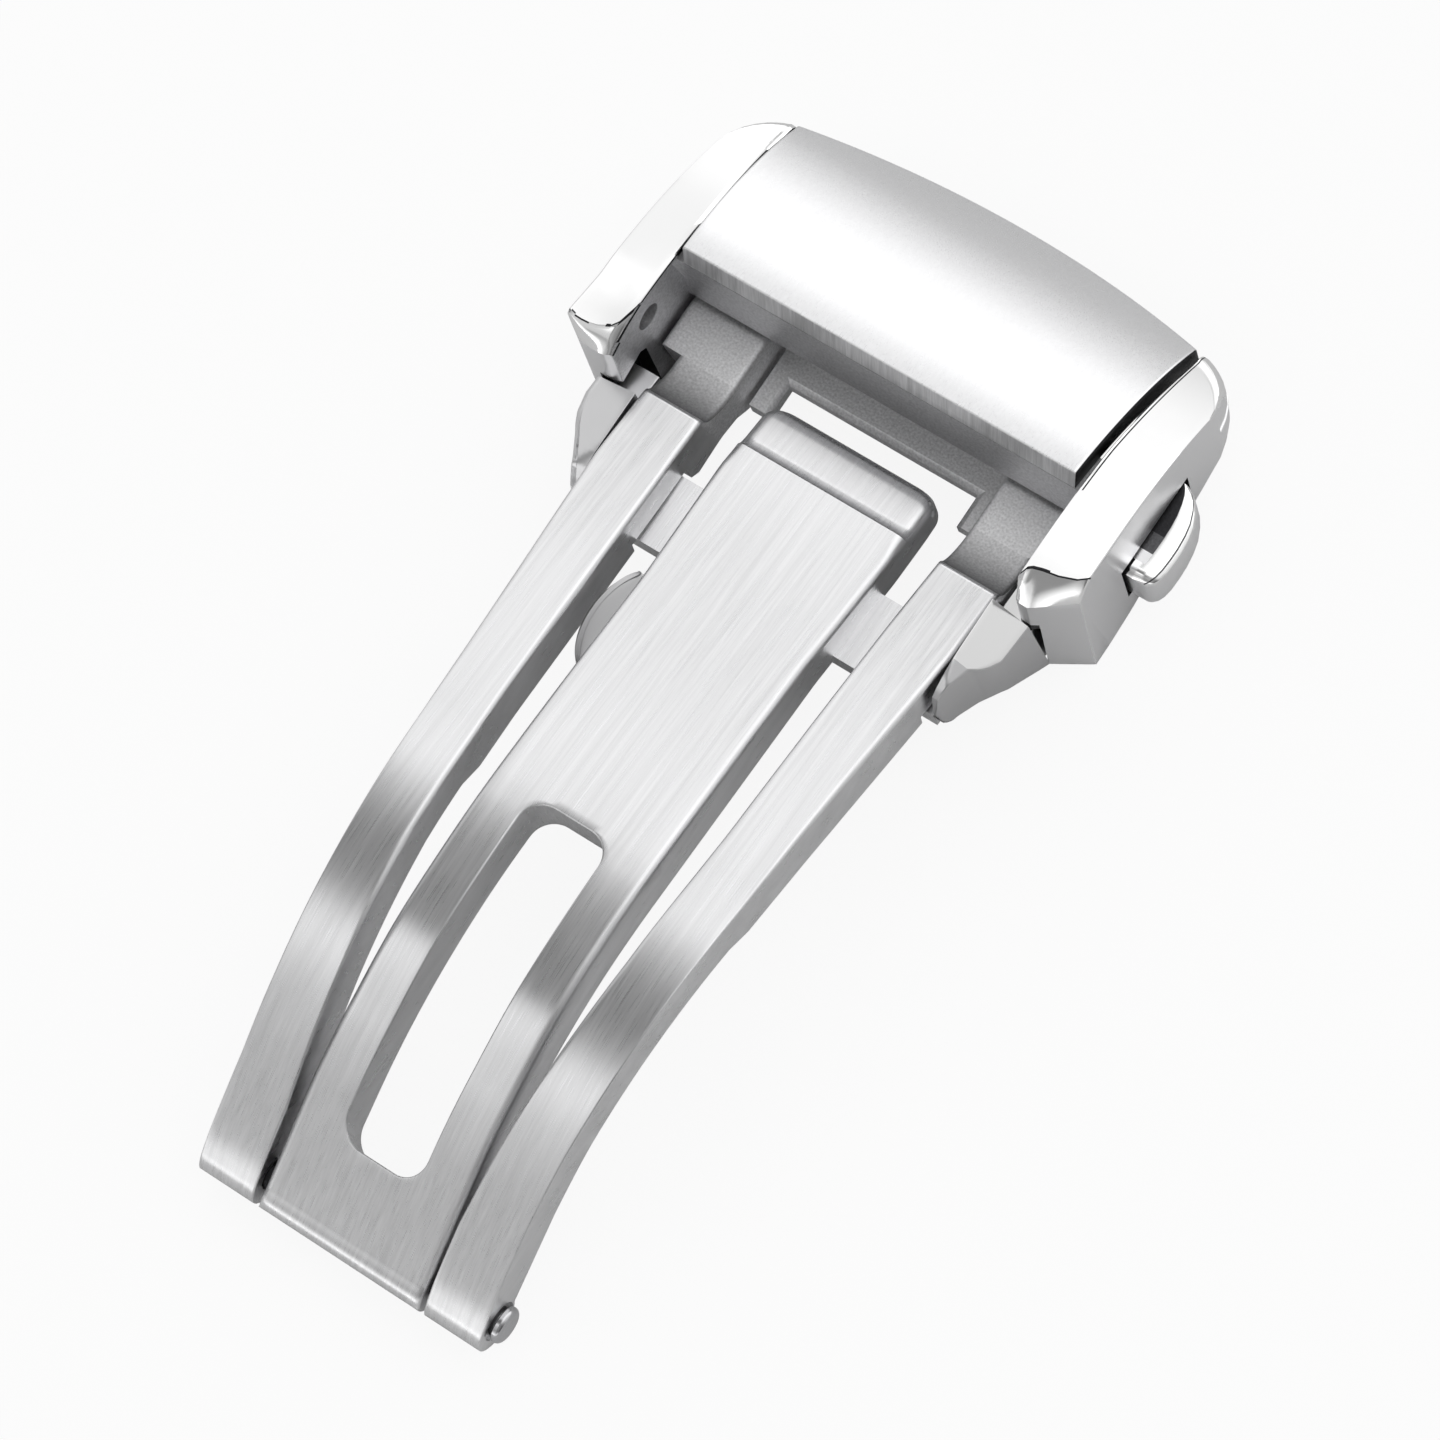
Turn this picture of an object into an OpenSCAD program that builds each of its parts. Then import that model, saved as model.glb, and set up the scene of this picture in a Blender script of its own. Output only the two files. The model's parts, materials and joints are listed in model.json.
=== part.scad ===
// Deployant clasp for a leather watch strap, closed and latched.
// X runs across the clasp, Y from the fold roll towards the head, Z away from the wrist.
// The clasp stands on the fold roll, the side rails and the fronts of the cheeks, at Z = 0.

/* [Output] */
// Sub-part to draw, or all of them

/* [Fold roll] */
// Position of the fold axis along the clasp
fold_y = -22; // [-26:0.1:-18]
// Outside radius of the knuckles on the fold axis
fold_r = 1.3; // [1.1:0.05:1.6]
// Radius of the fold pin
fold_pin_r = 0.6; // [0.4:0.05:0.75]
// Radius of the pin head on the right
fold_head_r = 0.78; // [0.7:0.02:1.0]
// How far the pin head stands out of the right arm
fold_head_out = 0.5; // [0.2:0.05:0.8]

/* [Fork arms] */
// Half width over both arms at the fold roll
arm_out_fold = 6.5; // [6:0.1:7]
// Half width over both arms between the ears
arm_out_head = 8.03; // [7.6:0.01:8.1]
// Half width of the gap between the arms at the fold roll
arm_in_fold = 3.97; // [3.9:0.01:4.3]
// Half width of the gap between the arms at the head
arm_in_head = 5.37; // [5.1:0.01:5.6]
// Downward slope of the arms towards the head
arm_slope = 8.3; // [6:0.1:10]
// Height of the arms where the curve meets the straight part
arm_top_z = 7.57; // [7:0.01:8]
// Radius of the curve over the wrist
arm_bend_r = 18; // [15:0.5:22]
// Thickness of the arms near the fold roll
arm_t_fold = 2.0; // [1.6:0.1:2.2]
// Thickness of the arms in the middle
arm_t_mid = 2.4; // [2:0.1:2.6]
// Thickness of the arms over the cross bar
arm_t_bar = 1.8; // [1.4:0.05:1.85]
// Where the brushed top of the arms ends
arm_end_y = 10.03; // [9.6:0.05:10.5]

/* [Centre blade] */
// Half width of the centre blade
blade_half = 3.65; // [3.2:0.05:3.7]
// Half width of the end pad
pad_half = 3.85; // [3.4:0.05:4]
// Slope of the centre blade towards the head
blade_slope = 7.0; // [6:0.1:9]
// Height of the centre blade where the curve meets the straight part
blade_top_z = 7.13; // [6.6:0.01:7.4]
// Radius of the curve of the centre blade
blade_bend_r = 20.16; // [18:0.1:24]
// Thickness of the centre blade
blade_t = 2.2; // [1.6:0.1:2.4]
// Half width of the long slot
slot_half = 1.8; // [1.2:0.1:2.4]
// End of the slot near the fold roll
slot_y0 = -19.7; // [-20:0.1:-18]
// End of the slot near the middle
slot_y1 = -5.6; // [-8:0.1:-3]
// Corner radius of the slot
slot_r = 1.0; // [0.4:0.1:1.2]
// Length of the D shaped lug on the left edge
lug_len = 4.3; // [3:0.1:5]
// How far the lug stands out of the blade
lug_out = 1.15; // [0.6:0.05:1.3]

/* [Cross bar and ears] */
// Front edge of the cross bar
bar_y0 = 5.25; // [5:0.05:5.8]
// Rear edge of the cross bar
bar_y1 = 8.27; // [7.6:0.01:8.3]
// Thickness of the cross bar
bar_t = 1.2; // [0.8:0.1:1.5]
// Gap between an arm and the ear beside it
ear_gap = 0.12; // [0.08:0.01:0.3]
// Width of the side rails
rail_w = 0.7; // [0.5:0.05:0.8]
// Height of the side rails
rail_h = 1.1; // [0.7:0.05:1.15]
// Strap width between the rear lugs
rear_strap = 16.2; // [16:0.05:16.3]
// Radius of the strap bar holes in the rear lugs
rear_hole_r = 0.55; // [0.45:0.05:0.7]

/* [Head] */
// Strap width between the cheeks
head_strap = 18.1; // [17.8:0.05:18.3]
// Thickness of a cheek
cheek_t = 2.2; // [2:0.05:2.4]
// Radius of the strap bar holes in the cheeks
front_hole_r = 0.58; // [0.45:0.01:0.7]
// Depth of the strap bar holes in the cheeks
front_hole_depth = 1.2; // [0.8:0.1:1.4]
// Radius of the curved cover
cover_r = 14.35; // [13:0.05:16]
// Thickness of the cover
cover_t = 1.1; // [0.8:0.05:1.3]
// How far the rear edge of the cover bows out
cover_bow = 1.15; // [0.5:0.05:1.3]
// Position of the head hinge along the clasp
hinge_y = 13.9; // [13.7:0.05:14.1]
// Height of the head hinge
hinge_z = 2.7; // [2.6:0.05:2.8]
// Radius of the hinge blocks round the head hinge
hinge_r = 1.4; // [1.1:0.05:1.45]
// Radius of the head hinge pins
hinge_pin_r = 0.6; // [0.4:0.05:0.7]

/* [Pushers] */
// Position of the pushers along the clasp
push_y = 15.65; // [15.4:0.05:15.8]
// Length of a pusher
push_len = 4.25; // [3.6:0.05:4.3]
// How far a pusher stands out of its cheek
push_out = 1.3; // [0.9:0.05:1.5]
// Height of a pusher
push_h = 2.3; // [1.8:0.05:2.4]
// Travel of a pusher
push_travel = 0.8; // [0.5:0.05:0.8]
// Radius of the pusher stem
stem_r = 0.5; // [0.4:0.05:0.6]
// Thickness of the leaf springs
leaf_t = 0.15; // [0.1:0.01:0.2]

/* [Fits] */
// Radial clearance round turning and sliding pins
run_clear = 0.03; // [0.01:0.005:0.08]
// Clearance of a pusher in its recess
recess_clear = 0.15; // [0.08:0.01:0.2]

/* [Hidden] */
$fn = 64;
fold_z = fold_r;

// Arm curve: the straight part leaves the arc where their slopes agree
arm_cy = -8.71;
arm_y1 = arm_cy + arm_bend_r * sin(arm_slope);
arm_cz = arm_top_z - arm_bend_r * cos(arm_slope);
arm_a0 = tangent_angle(arm_cy, arm_cz, arm_bend_r);

// Blade curve
blade_cy = -8.66;
blade_y1 = blade_cy + blade_bend_r * sin(blade_slope);
blade_cz = blade_top_z - blade_bend_r * cos(blade_slope);
blade_a0 = tangent_angle(blade_cy, blade_cz, blade_bend_r);
blade_end_y = 10.25;
pad_end_y = 12.4;

// Cross bar and ears
bar_top0 = 3.85;
bar_top1 = 3.57;
ear_x = arm_out_head + ear_gap;
rail_x0 = rear_strap / 2;
rail_x1 = rail_x0 + rail_w;
rivet_y = 7.6;
rear_y = 19.9;
rear_z = 2.0;
tail_y = 11.0;

// Head
wall_x = head_strap / 2;
tail_x = wall_x + 0.67;
cheek_x = wall_x + cheek_t;
cover_cy = 12.55;
cover_cz = -6.07;
cover_y0 = 14.63;
block_y0 = 14.4;
block_y1 = 16.2;
block_z0 = 4.25;
leg_x = 4.6;
leg_y0 = hinge_y + hinge_r + 0.1;
leg_y1 = 17.6;
leg_z0 = 1.5;
plate_z0 = 1.5;
plate_z1 = 2.3;
front_hole_y = 12.3;
front_hole_z = 6.4;
crown = 10;

// Pushers
recess_x = cheek_x - 1.2;
push_x0 = recess_x + push_travel + 0.05;
push_x1 = cheek_x + push_out;
push_z0 = 1.7;
stem_y = 16.7;
stem_z = 2.7;
latch_x0 = 6.5;
latch_x1 = 7.1;

// Extrudes a (Y, Z) outline along X from x0 to x1.
module side(x0, x1) {
    translate([x0, 0, 0])
        rotate([90, 0, 90])
            linear_extrude(x1 - x0) children();
}

// Cylinder along X from x0 to x1 at (y, z).
module pin_x(x0, x1, y, z, r) {
    translate([x0, y, z])
        rotate([0, 90, 0])
            cylinder(h = x1 - x0, r = r);
}

// Point on a circle in the (Y, Z) plane, a degrees back from the top.
function arc_at(cy, cz, r, a) = [cy - r * sin(a), cz + r * cos(a)];

// Height of the arm top over the straight part.
function arm_z(y) = arm_top_z - tan(arm_slope) * (y - arm_y1);

// Height of the blade top over the straight part.
function blade_z(y) = blade_top_z - tan(blade_slope) * (y - blade_y1);

// Height of the cross bar top.
function bar_z(y) = bar_top0 + (bar_top1 - bar_top0) * (y - bar_y0) / (bar_y1 - bar_y0);

// Slope of the line that touches both an arc and the fold roll from above.
function tangent_angle(cy, cz, r) =
    atan2(cy - fold_y, fold_z - cz) - acos((r - fold_r) / norm([cy - fold_y, cz - fold_z]));

// Arc points from slope a0 to slope a1.
function arc(cy, cz, r, a0, a1, steps = 24) =
    [for (i = [0:steps]) arc_at(cy, cz, r, a0 + (a1 - a0) * i / steps)];

// Last points of an outline, under the straight strip that joins an arc to the fold roll.
function root_low(cy, cz, r, a0, tip) =
    [[fold_y + 0.5 * fold_r * cos(a0) + tip * sin(a0), fold_z + 0.5 * fold_r * sin(a0) - tip * cos(a0)],
     [fold_y, fold_z], arc_at(fold_y, fold_z, fold_r, a0)];

module arm_side() {
    tm = arm_t_mid / cos(arm_slope);
    tb = arm_t_bar / cos(arm_slope);
    z_end = arm_z(arm_end_y);
    low_r = arm_bend_r - arm_t_fold;
    polygon(concat(
        arc(arm_cy, arm_cz, arm_bend_r, arm_a0, -arm_slope),
        [
            [arm_end_y, z_end], [arm_end_y + 0.25, z_end - 0.45], [arm_end_y + 0.8, z_end - 0.8],
            [arm_end_y + 1.6, hinge_z + hinge_r + 0.06], [arm_end_y + 2.3, hinge_z + hinge_r],
            [hinge_y, hinge_z + hinge_r], [hinge_y, hinge_z - hinge_r],
            [12.6, hinge_z - hinge_r], [11.6, 2.0], [10.7, 2.2], [9.0, 2.2], [8.6, 2.6],
            [8.6, arm_z(8.6) - tb], [4.9, arm_z(4.9) - tb], [4.9, arm_z(4.9) - tm],
            [-5.5, arm_z(-5.5) - tm]
        ],
        arc(arm_cy, arm_cz, low_r, -arm_slope, arm_a0),
        root_low(arm_cy, arm_cz, low_r, arm_a0, arm_t_fold - fold_r)
    ));
}

module arm_plan() {
    polygon([
        [arm_in_fold, fold_y - 3], [arm_out_fold, fold_y - 3], [arm_out_fold, fold_y + 3],
        [arm_out_fold + 0.6 * (arm_out_head - arm_out_fold), -2],
        [arm_out_head, 7], [arm_out_head, 12.2], [wall_x - 0.15, 12.2], [wall_x - 0.15, 16],
        [arm_in_head, 16], [arm_in_head, arm_end_y],
        [arm_in_head - 0.27, -3], [arm_in_fold + 0.83, -9], [arm_in_fold, fold_y + 2]
    ]);
}

module arm() {
    difference() {
        intersection() {
            union() {
                side(0, 12) arm_side();
                pin_x(0, 12, fold_y, fold_z, fold_r);
                pin_x(0, 12, hinge_y, hinge_z, hinge_r);
            }
            translate([0, 0, -1]) linear_extrude(13) arm_plan();
        }
        pin_x(0, 12, fold_y, fold_z, fold_pin_r + run_clear);
        pin_x(arm_out_fold - 0.35, 12, fold_y, fold_z, fold_head_r + run_clear);
        pin_x(6, 12, hinge_y, hinge_z, hinge_pin_r);
    }
}

module arm_left() {
    color("Silver") mirror([1, 0, 0]) arm();
}

module arm_right() {
    color("Silver") arm();
}

module blade_side() {
    tb = blade_t / cos(blade_slope);
    z_end = blade_z(blade_end_y);
    low_r = blade_bend_r - blade_t;
    polygon(concat(
        arc(blade_cy, blade_cz, blade_bend_r, blade_a0, -blade_slope),
        [
            [blade_end_y, z_end], [blade_end_y + 0.12, z_end - 0.2],
            [blade_end_y + 0.35, z_end - 0.28], [pad_end_y - 0.45, z_end - 0.5],
            [pad_end_y - 0.15, z_end - 0.65], [pad_end_y, z_end - 0.95],
            [pad_end_y, 3.05], [pad_end_y - 0.3, 2.8], [blade_end_y, z_end - tb]
        ],
        arc(blade_cy, blade_cz, low_r, -blade_slope, blade_a0),
        root_low(blade_cy, blade_cz, low_r, blade_a0, blade_t - fold_r)
    ));
}

module bar_side() {
    polygon([
        [bar_y0, bar_top0 - bar_t], [bar_y1, bar_top1 - bar_t],
        [bar_y1, bar_top1], [bar_y0, bar_top0]
    ]);
}

module slot_plan() {
    x = slot_half - slot_r;
    for (sx = [-1, 1], y = [slot_y0 + slot_r, slot_y1 - slot_r])
        translate([sx * x, y]) circle(r = slot_r);
    translate([-x, slot_y0]) square([2 * x, slot_y1 - slot_y0]);
    translate([-slot_half, slot_y0 + slot_r])
        square([2 * slot_half, slot_y1 - slot_y0 - 2 * slot_r]);
}

module blade_plan() {
    polygon([
        [blade_half + 0.07, fold_y - 3], [blade_half + 0.07, fold_y + 3], [blade_half, -10],
        [blade_half, 4], [pad_half, 9], [pad_half, pad_end_y - 0.7],
        [pad_half - 0.2, pad_end_y - 0.22], [pad_half - 0.7, pad_end_y],
        [-pad_half + 0.7, pad_end_y], [-pad_half + 0.2, pad_end_y - 0.22],
        [-pad_half, pad_end_y - 0.7], [-pad_half, 9], [-blade_half, 4], [-blade_half, -10],
        [-blade_half - 0.07, fold_y + 3], [-blade_half - 0.07, fold_y - 3]
    ]);
}

module centre_blade() {
    color("LightGray")
        difference() {
            intersection() {
                union() {
                    side(-6, 6) blade_side();
                    pin_x(-6, 6, fold_y, fold_z, fold_r);
                }
                translate([0, 0, -1]) linear_extrude(13) blade_plan();
            }
            translate([0, 0, -1]) linear_extrude(12) slot_plan();
            side(-6, 6) bar_side();
            translate([-6, bar_y0, 1]) cube([12, bar_y1 - bar_y0, bar_top1 - 1]);
            pin_x(-6, 6, fold_y, fold_z, fold_pin_r);
            lug();
        }
}

module cross_bar() {
    color("DarkGray")
        difference() {
            side(-ear_x, ear_x) bar_side();
            rivet_pair();
        }
}

// The D shaped lug on the left edge of the blade, with its tongue set into the blade.
module lug() {
    z1 = blade_z(1.8) - 0.35;
    translate([-blade_half, 1.8, z1 - 1.5])
        intersection() {
            translate([-lug_out, -lug_len / 2, 0]) cube([lug_out + 0.5, lug_len, 1.5]);
            translate([-lug_out + lug_len * 0.72, 0, 0]) cylinder(h = 1.5, r = lug_len * 0.72);
        }
}

module side_lug() {
    color("Gainsboro") lug();
}

module fold_pin() {
    color("DimGray") {
        pin_x(-arm_out_fold - 0.1, arm_out_fold, fold_y, fold_z, fold_pin_r);
        pin_x(arm_out_fold - 0.3, arm_out_fold + fold_head_out, fold_y, fold_z, fold_head_r);
    }
}

// Right ear with its tail, side rail, latch ledge and rear strap lug.
module ear() {
    difference() {
        union() {
            intersection() {
                linear_extrude(8)
                    polygon([
                        [ear_x, 4], [ear_x + 2.85, 4], [ear_x + 2.85, 9.4], [tail_x, 9.4], [tail_x, tail_y],
                        [ear_x, tail_y]
                    ]);
                side(0, ear_x + 4)
                    polygon([
                        [4.5, 2.6], [5.7, 2.3], [7.7, 1.9], [9.3, 1.15], [10, 0.85], [tail_y, 0.85],
                        [tail_y, 4.0], [9.6, 4.2], [9.45, 5.6], [5.6, 5.0], [4.5, 4.5]
                    ]);
                translate([ear_x, 4, 5.3]) rotate([0, 19, 0])
                    translate([-4, -2, -9]) cube([12, 12, 9]);
                translate([ear_x, 5, 1.2]) rotate([0, 0, -23.6]) rotate([0, -13, 0])
                    translate([-9, -9, -4]) cube([9, 22, 12]);
            }
            difference() {
                side(rail_x0, rail_x1)
                    polygon([
                        [9.3, 0.95], [9.9, 0], [21.2, 0], [21.2, 2.6], [20.6, 3.2], [19.2, 3.2],
                        [18.6, 2.6], [18.6, rail_h], [11, rail_h], [11, 3.6], [9.3, 3.6]
                    ]);
                translate([rail_x0 - 1, 5, 0]) cube([ear_x - rail_x0 + 1, tail_y - 5, 8]);
            }
            translate([latch_x1 + 0.06, stem_y - 0.9, 0.45])
                cube([rail_x0 - latch_x1, 1.8, rail_h - 0.45]);
        }
        pin_x(6, rail_x1 + 3, rear_y, rear_z, rear_hole_r);
        pin_x(6, ear_x + 0.5, rivet_y, bar_z(rivet_y) - bar_t / 2, 0.3);
    }
}

module ear_left() {
    color("WhiteSmoke") mirror([1, 0, 0]) ear();
}

module ear_right() {
    color("WhiteSmoke") ear();
}

// The two rivets that join the ends of the cross bar to the ears.
module rivet_pair() {
    z = bar_z(rivet_y) - bar_t / 2;
    pin_x(ear_x - 0.8, ear_x + 0.5, rivet_y, z, 0.3);
    pin_x(-ear_x - 0.5, 0.8 - ear_x, rivet_y, z, 0.3);
}

module ear_rivets() {
    color("Gray") rivet_pair();
}

module hinge_pins() {
    color("DimGray") {
        pin_x(6, wall_x + 0.65, hinge_y, hinge_z, hinge_pin_r);
        pin_x(-wall_x - 0.65, -6, hinge_y, hinge_z, hinge_pin_r);
    }
}

module cheek_plan() {
    polygon([
        [wall_x, 9.95], [wall_x + 0.65, 9.75], [cheek_x, 11.05], [cheek_x, 13.4],
        [cheek_x - 0.12, 20.1], [cheek_x - 0.35, 20.9], [cheek_x - 0.8, 21.5],
        [cheek_x - 1.45, 22.0], [wall_x + 0.18, 22.2],
        [wall_x + 0.18, 21.5], [wall_x, 16.6]
    ]);
}

module cheek_top() {
    polygon([
        [9, 0], [9, 6.9], [9.95, 7.45], [11.1, 7.98], [13, 7.85], [14.8, 7.62], [17.3, 7.03],
        [19.2, 6.15], [21.2, 5.05], [22.3, 4.3], [23, 3.5], [23, 0]
    ]);
}

module cheek_low() {
    polygon([
        [9.5, 1.15], [10.9, 0], [11.9, 0], [15, 0.45], [18.5, 0.95], [20.8, 1.4], [22.0, 2.3],
        [22.4, 3.4], [22.4, 9], [9.5, 9]
    ]);
}

module cheek() {
    difference() {
        intersection() {
            linear_extrude(10) cheek_plan();
            translate([wall_x, 0, 0]) rotate([0, crown, 0]) side(-2, 5) cheek_top();
            side(0, cheek_x + 3) cheek_low();
        }
        side(wall_x - 1, tail_x + 0.22)
            polygon([[9, -1], [11.6, -1], [11.6, 4.7], [11.3, 4.95], [9, 4.45]]);
        pin_x(wall_x - 1, wall_x + front_hole_depth, front_hole_y, front_hole_z, front_hole_r);
        pin_x(wall_x - 1, wall_x + 0.75, hinge_y, hinge_z, hinge_pin_r + run_clear);
        translate([recess_x, push_y - push_len / 2 - recess_clear, push_z0 - recess_clear])
            cube([3, push_len + 2 * recess_clear, push_h + 2 * recess_clear + 0.1]);
        pin_x(wall_x - 1, cheek_x, stem_y, stem_z, stem_r + run_clear);
        pin_x(wall_x - 1, wall_x + 1.3, 15.0, 6.1, 0.35);
        pin_x(wall_x - 1, wall_x + 1.3, 15.6, 4.95, 0.35);
    }
}

module cheek_left() {
    color("White") mirror([1, 0, 0]) cheek();
}

module cheek_right() {
    color("White") cheek();
}

module cover_plate() {
    half = wall_x + 0.05;
    r_bow = (cover_bow * cover_bow + half * half) / (2 * cover_bow);
    color("Gainsboro")
        difference() {
            intersection() {
                pin_x(-wall_x - 1, wall_x + 1, cover_cy, cover_cz, cover_r);
                linear_extrude(12)
                    polygon([
                        [-wall_x + 0.23, cover_y0], [wall_x - 0.23, cover_y0],
                        [wall_x + 0.03, 22.2], [wall_x + 0.03, 24], [-wall_x - 0.03, 24],
                        [-wall_x - 0.03, 22.2]
                    ]);
                translate([0, 22.15 + cover_bow - r_bow, 0]) cylinder(h = 12, r = r_bow, $fn = 256);
                side(-wall_x - 1, wall_x + 1)
                    polygon([[cover_y0, 0], [cover_y0, 7.8], [cover_y0 + 0.32, 9], [25, 9], [25, 0]]);
            }
            pin_x(-wall_x - 2, wall_x + 2, cover_cy, cover_cz, cover_r - cover_t);
            for (sx = [-1, 1])
                translate([sx * 5.5, 15.3, 4]) cylinder(h = 3.4, r = 0.4);
        }
}

module head_block() {
    color("DimGray")
        difference() {
            intersection() {
                pin_x(-wall_x - 1, wall_x + 1, cover_cy, cover_cz, cover_r - cover_t - 0.01);
                union() {
                    side(-wall_x, wall_x)
                        polygon([
                            [block_y0, block_z0], [block_y1, block_z0], [block_y1, 9],
                            [cover_y0, 9], [cover_y0, 7]
                        ]);
                    side(-leg_x, leg_x)
                        polygon([
                            [leg_y0, leg_z0], [leg_y1, leg_z0], [leg_y1, 5.6],
                            [block_y1, 6.6], [leg_y0, 6.6]
                        ]);
                }
            }
            for (sx = [-1, 1]) {
                translate([sx * 5.5, 15.3, 0]) cylinder(h = 9, r = 0.4);
                translate([sx * 5.5, 15.3, 0]) cylinder(h = block_z0 + 0.5, r = 0.7);
            }
            pin_x(-wall_x - 2, -wall_x + 1.3, 15.0, 6.1, 0.35);
            pin_x(-wall_x - 2, -wall_x + 1.3, 15.6, 4.95, 0.35);
            pin_x(wall_x - 1.3, wall_x + 2, 15.0, 6.1, 0.35);
            pin_x(wall_x - 1.3, wall_x + 2, 15.6, 4.95, 0.35);
        }
}

// Floor between the two hinge blocks, open to the front round the end of the blade.
module fork_bridge() {
    color("Silver")
        difference() {
            intersection() {
                union() {
                    translate([-5.2, 12.2, plate_z0]) cube([10.4, 4, plate_z1 - plate_z0]);
                    translate([-arm_in_head, 12.6, plate_z0]) cube([2 * arm_in_head, 3, 0.4]);
                }
                union() {
                    pin_x(-6, 6, hinge_y, hinge_z, hinge_r);
                    translate([-6, 12, 0]) cube([12, hinge_y - 12, 5]);
                }
            }
            translate([-4.3, 11, 0]) cube([8.6, 2.7, 5]);
            translate([-4.6, 12.6, plate_z0 - 1]) cube([9.2, 1.4, 1.4]);
        }
}

module cover_screws() {
    color("Gray") {
        for (sx = [-1, 1]) {
            translate([sx * 5.5, 15.3, block_z0]) cylinder(h = 0.5, r = 0.7);
            translate([sx * 5.5, 15.3, block_z0]) cylinder(h = 3.15, r = 0.4);
        }
    }
}

module cheek_pins() {
    color("Gray")
        for (p = [[15.0, 6.1], [15.6, 4.95]]) {
            pin_x(wall_x - 1.3, wall_x + 1.3, p[0], p[1], 0.35);
            pin_x(-wall_x - 1.3, -wall_x + 1.3, p[0], p[1], 0.35);
        }
}

// Right pusher: a D shaped button with its stem.
module pusher() {
    half = push_len / 2;
    rr = 3.2;
    difference() {
        union() {
            intersection() {
                translate([push_x0, push_y - half, push_z0])
                    cube([push_x1 - push_x0, push_len, push_h]);
                translate([push_x1 - rr, push_y, 0]) cylinder(h = 6, r = rr);
                side(0, push_x1 + 1)
                    polygon([
                        [push_y - half, 0], [push_y + half, 0], [push_y + half, push_z0 + push_h - 0.6],
                        [push_y - half, push_z0 + push_h]
                    ]);
            }
            pin_x(latch_x1, push_x0 + 0.2, stem_y, stem_z, stem_r);
        }
        pin_x(latch_x1 - 1, latch_x1 + 1.2, stem_y, stem_z, 0.28);
    }
}

module latch() {
    difference() {
        translate([latch_x0, stem_y - 0.45, 0.2])
            cube([latch_x1 - latch_x0, 0.9, 3.95]);
        pin_x(latch_x0 - 1, latch_x1 + 1, stem_y, stem_z, 0.28);
    }
}

module latch_screw() {
    pin_x(latch_x0 - 0.3, latch_x0, stem_y, stem_z, 0.5);
    pin_x(latch_x0 - 0.3, latch_x1 + 1.1, stem_y, stem_z, 0.28);
}

// Hairpin leaf spring between the leg of the head block and the latch.
module spring() {
    xc = (leg_x + latch_x0) / 2;
    ro = (latch_x0 - leg_x) / 2;
    translate([0, 0, 3.45])
        linear_extrude(0.65) {
            difference() {
                translate([xc, 17.4]) circle(r = ro);
                translate([xc, 17.4]) circle(r = ro - leaf_t);
                translate([leg_x - 1, 15]) square([4, 2.4]);
            }
            translate([leg_x, 15.5]) square([leaf_t, 1.9]);
            translate([latch_x0 - leaf_t, 16.4]) square([leaf_t, 1.0]);
        }
}

module pusher_left() {
    color("White") mirror([1, 0, 0]) pusher();
}

module pusher_right() {
    color("White") pusher();
}

module latch_left() {
    color("Gray") mirror([1, 0, 0]) latch();
}

module latch_right() {
    color("Gray") latch();
}

module latch_screw_left() {
    color("DimGray") mirror([1, 0, 0]) latch_screw();
}

module latch_screw_right() {
    color("DimGray") latch_screw();
}

module spring_left() {
    color("SlateGray") mirror([1, 0, 0]) spring();
}

module spring_right() {
    color("SlateGray") spring();
}

centre_blade();
cross_bar();
ear_left();
ear_right();
ear_rivets();
side_lug();
fold_pin();
arm_left();
arm_right();
fork_bridge();
hinge_pins();
cover_plate();
head_block();
cheek_left();
cheek_right();
cover_screws();
cheek_pins();
pusher_left();
latch_left();
latch_screw_left();
spring_left();
pusher_right();
latch_right();
latch_screw_right();
spring_right();
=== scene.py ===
"""Deployant clasp: the smooth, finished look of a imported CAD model, laid out as an add-on.

X runs across the clasp, Y from the fold roll to the head, Z away from the wrist.
The sizes below are in millimetres and are turned into metres where meshes are made.
"""

import json
import math

import bmesh
import bpy
import numpy as np
from mathutils import Matrix


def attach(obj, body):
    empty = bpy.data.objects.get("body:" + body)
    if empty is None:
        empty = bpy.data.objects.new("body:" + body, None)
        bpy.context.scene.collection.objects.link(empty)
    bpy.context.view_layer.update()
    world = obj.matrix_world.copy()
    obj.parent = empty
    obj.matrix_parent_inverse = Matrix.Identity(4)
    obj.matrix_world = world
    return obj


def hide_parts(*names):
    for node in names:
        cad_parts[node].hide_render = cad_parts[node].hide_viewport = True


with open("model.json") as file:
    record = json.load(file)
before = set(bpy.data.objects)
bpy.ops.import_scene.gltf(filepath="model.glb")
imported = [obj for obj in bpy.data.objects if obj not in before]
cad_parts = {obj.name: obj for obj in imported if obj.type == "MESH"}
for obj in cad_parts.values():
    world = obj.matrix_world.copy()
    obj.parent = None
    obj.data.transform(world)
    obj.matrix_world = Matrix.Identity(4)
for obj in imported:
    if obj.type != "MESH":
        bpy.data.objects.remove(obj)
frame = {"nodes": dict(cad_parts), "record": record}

bl_info = {
    "name": "Deployant clasp",
    "version": (1, 0, 0),
    "blender": (4, 5, 0),
    "location": "3D View > Sidebar > Clasp",
    "description": "Builds the smooth pieces, materials and studio of a deployant clasp",
    "category": "Object",
}

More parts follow.
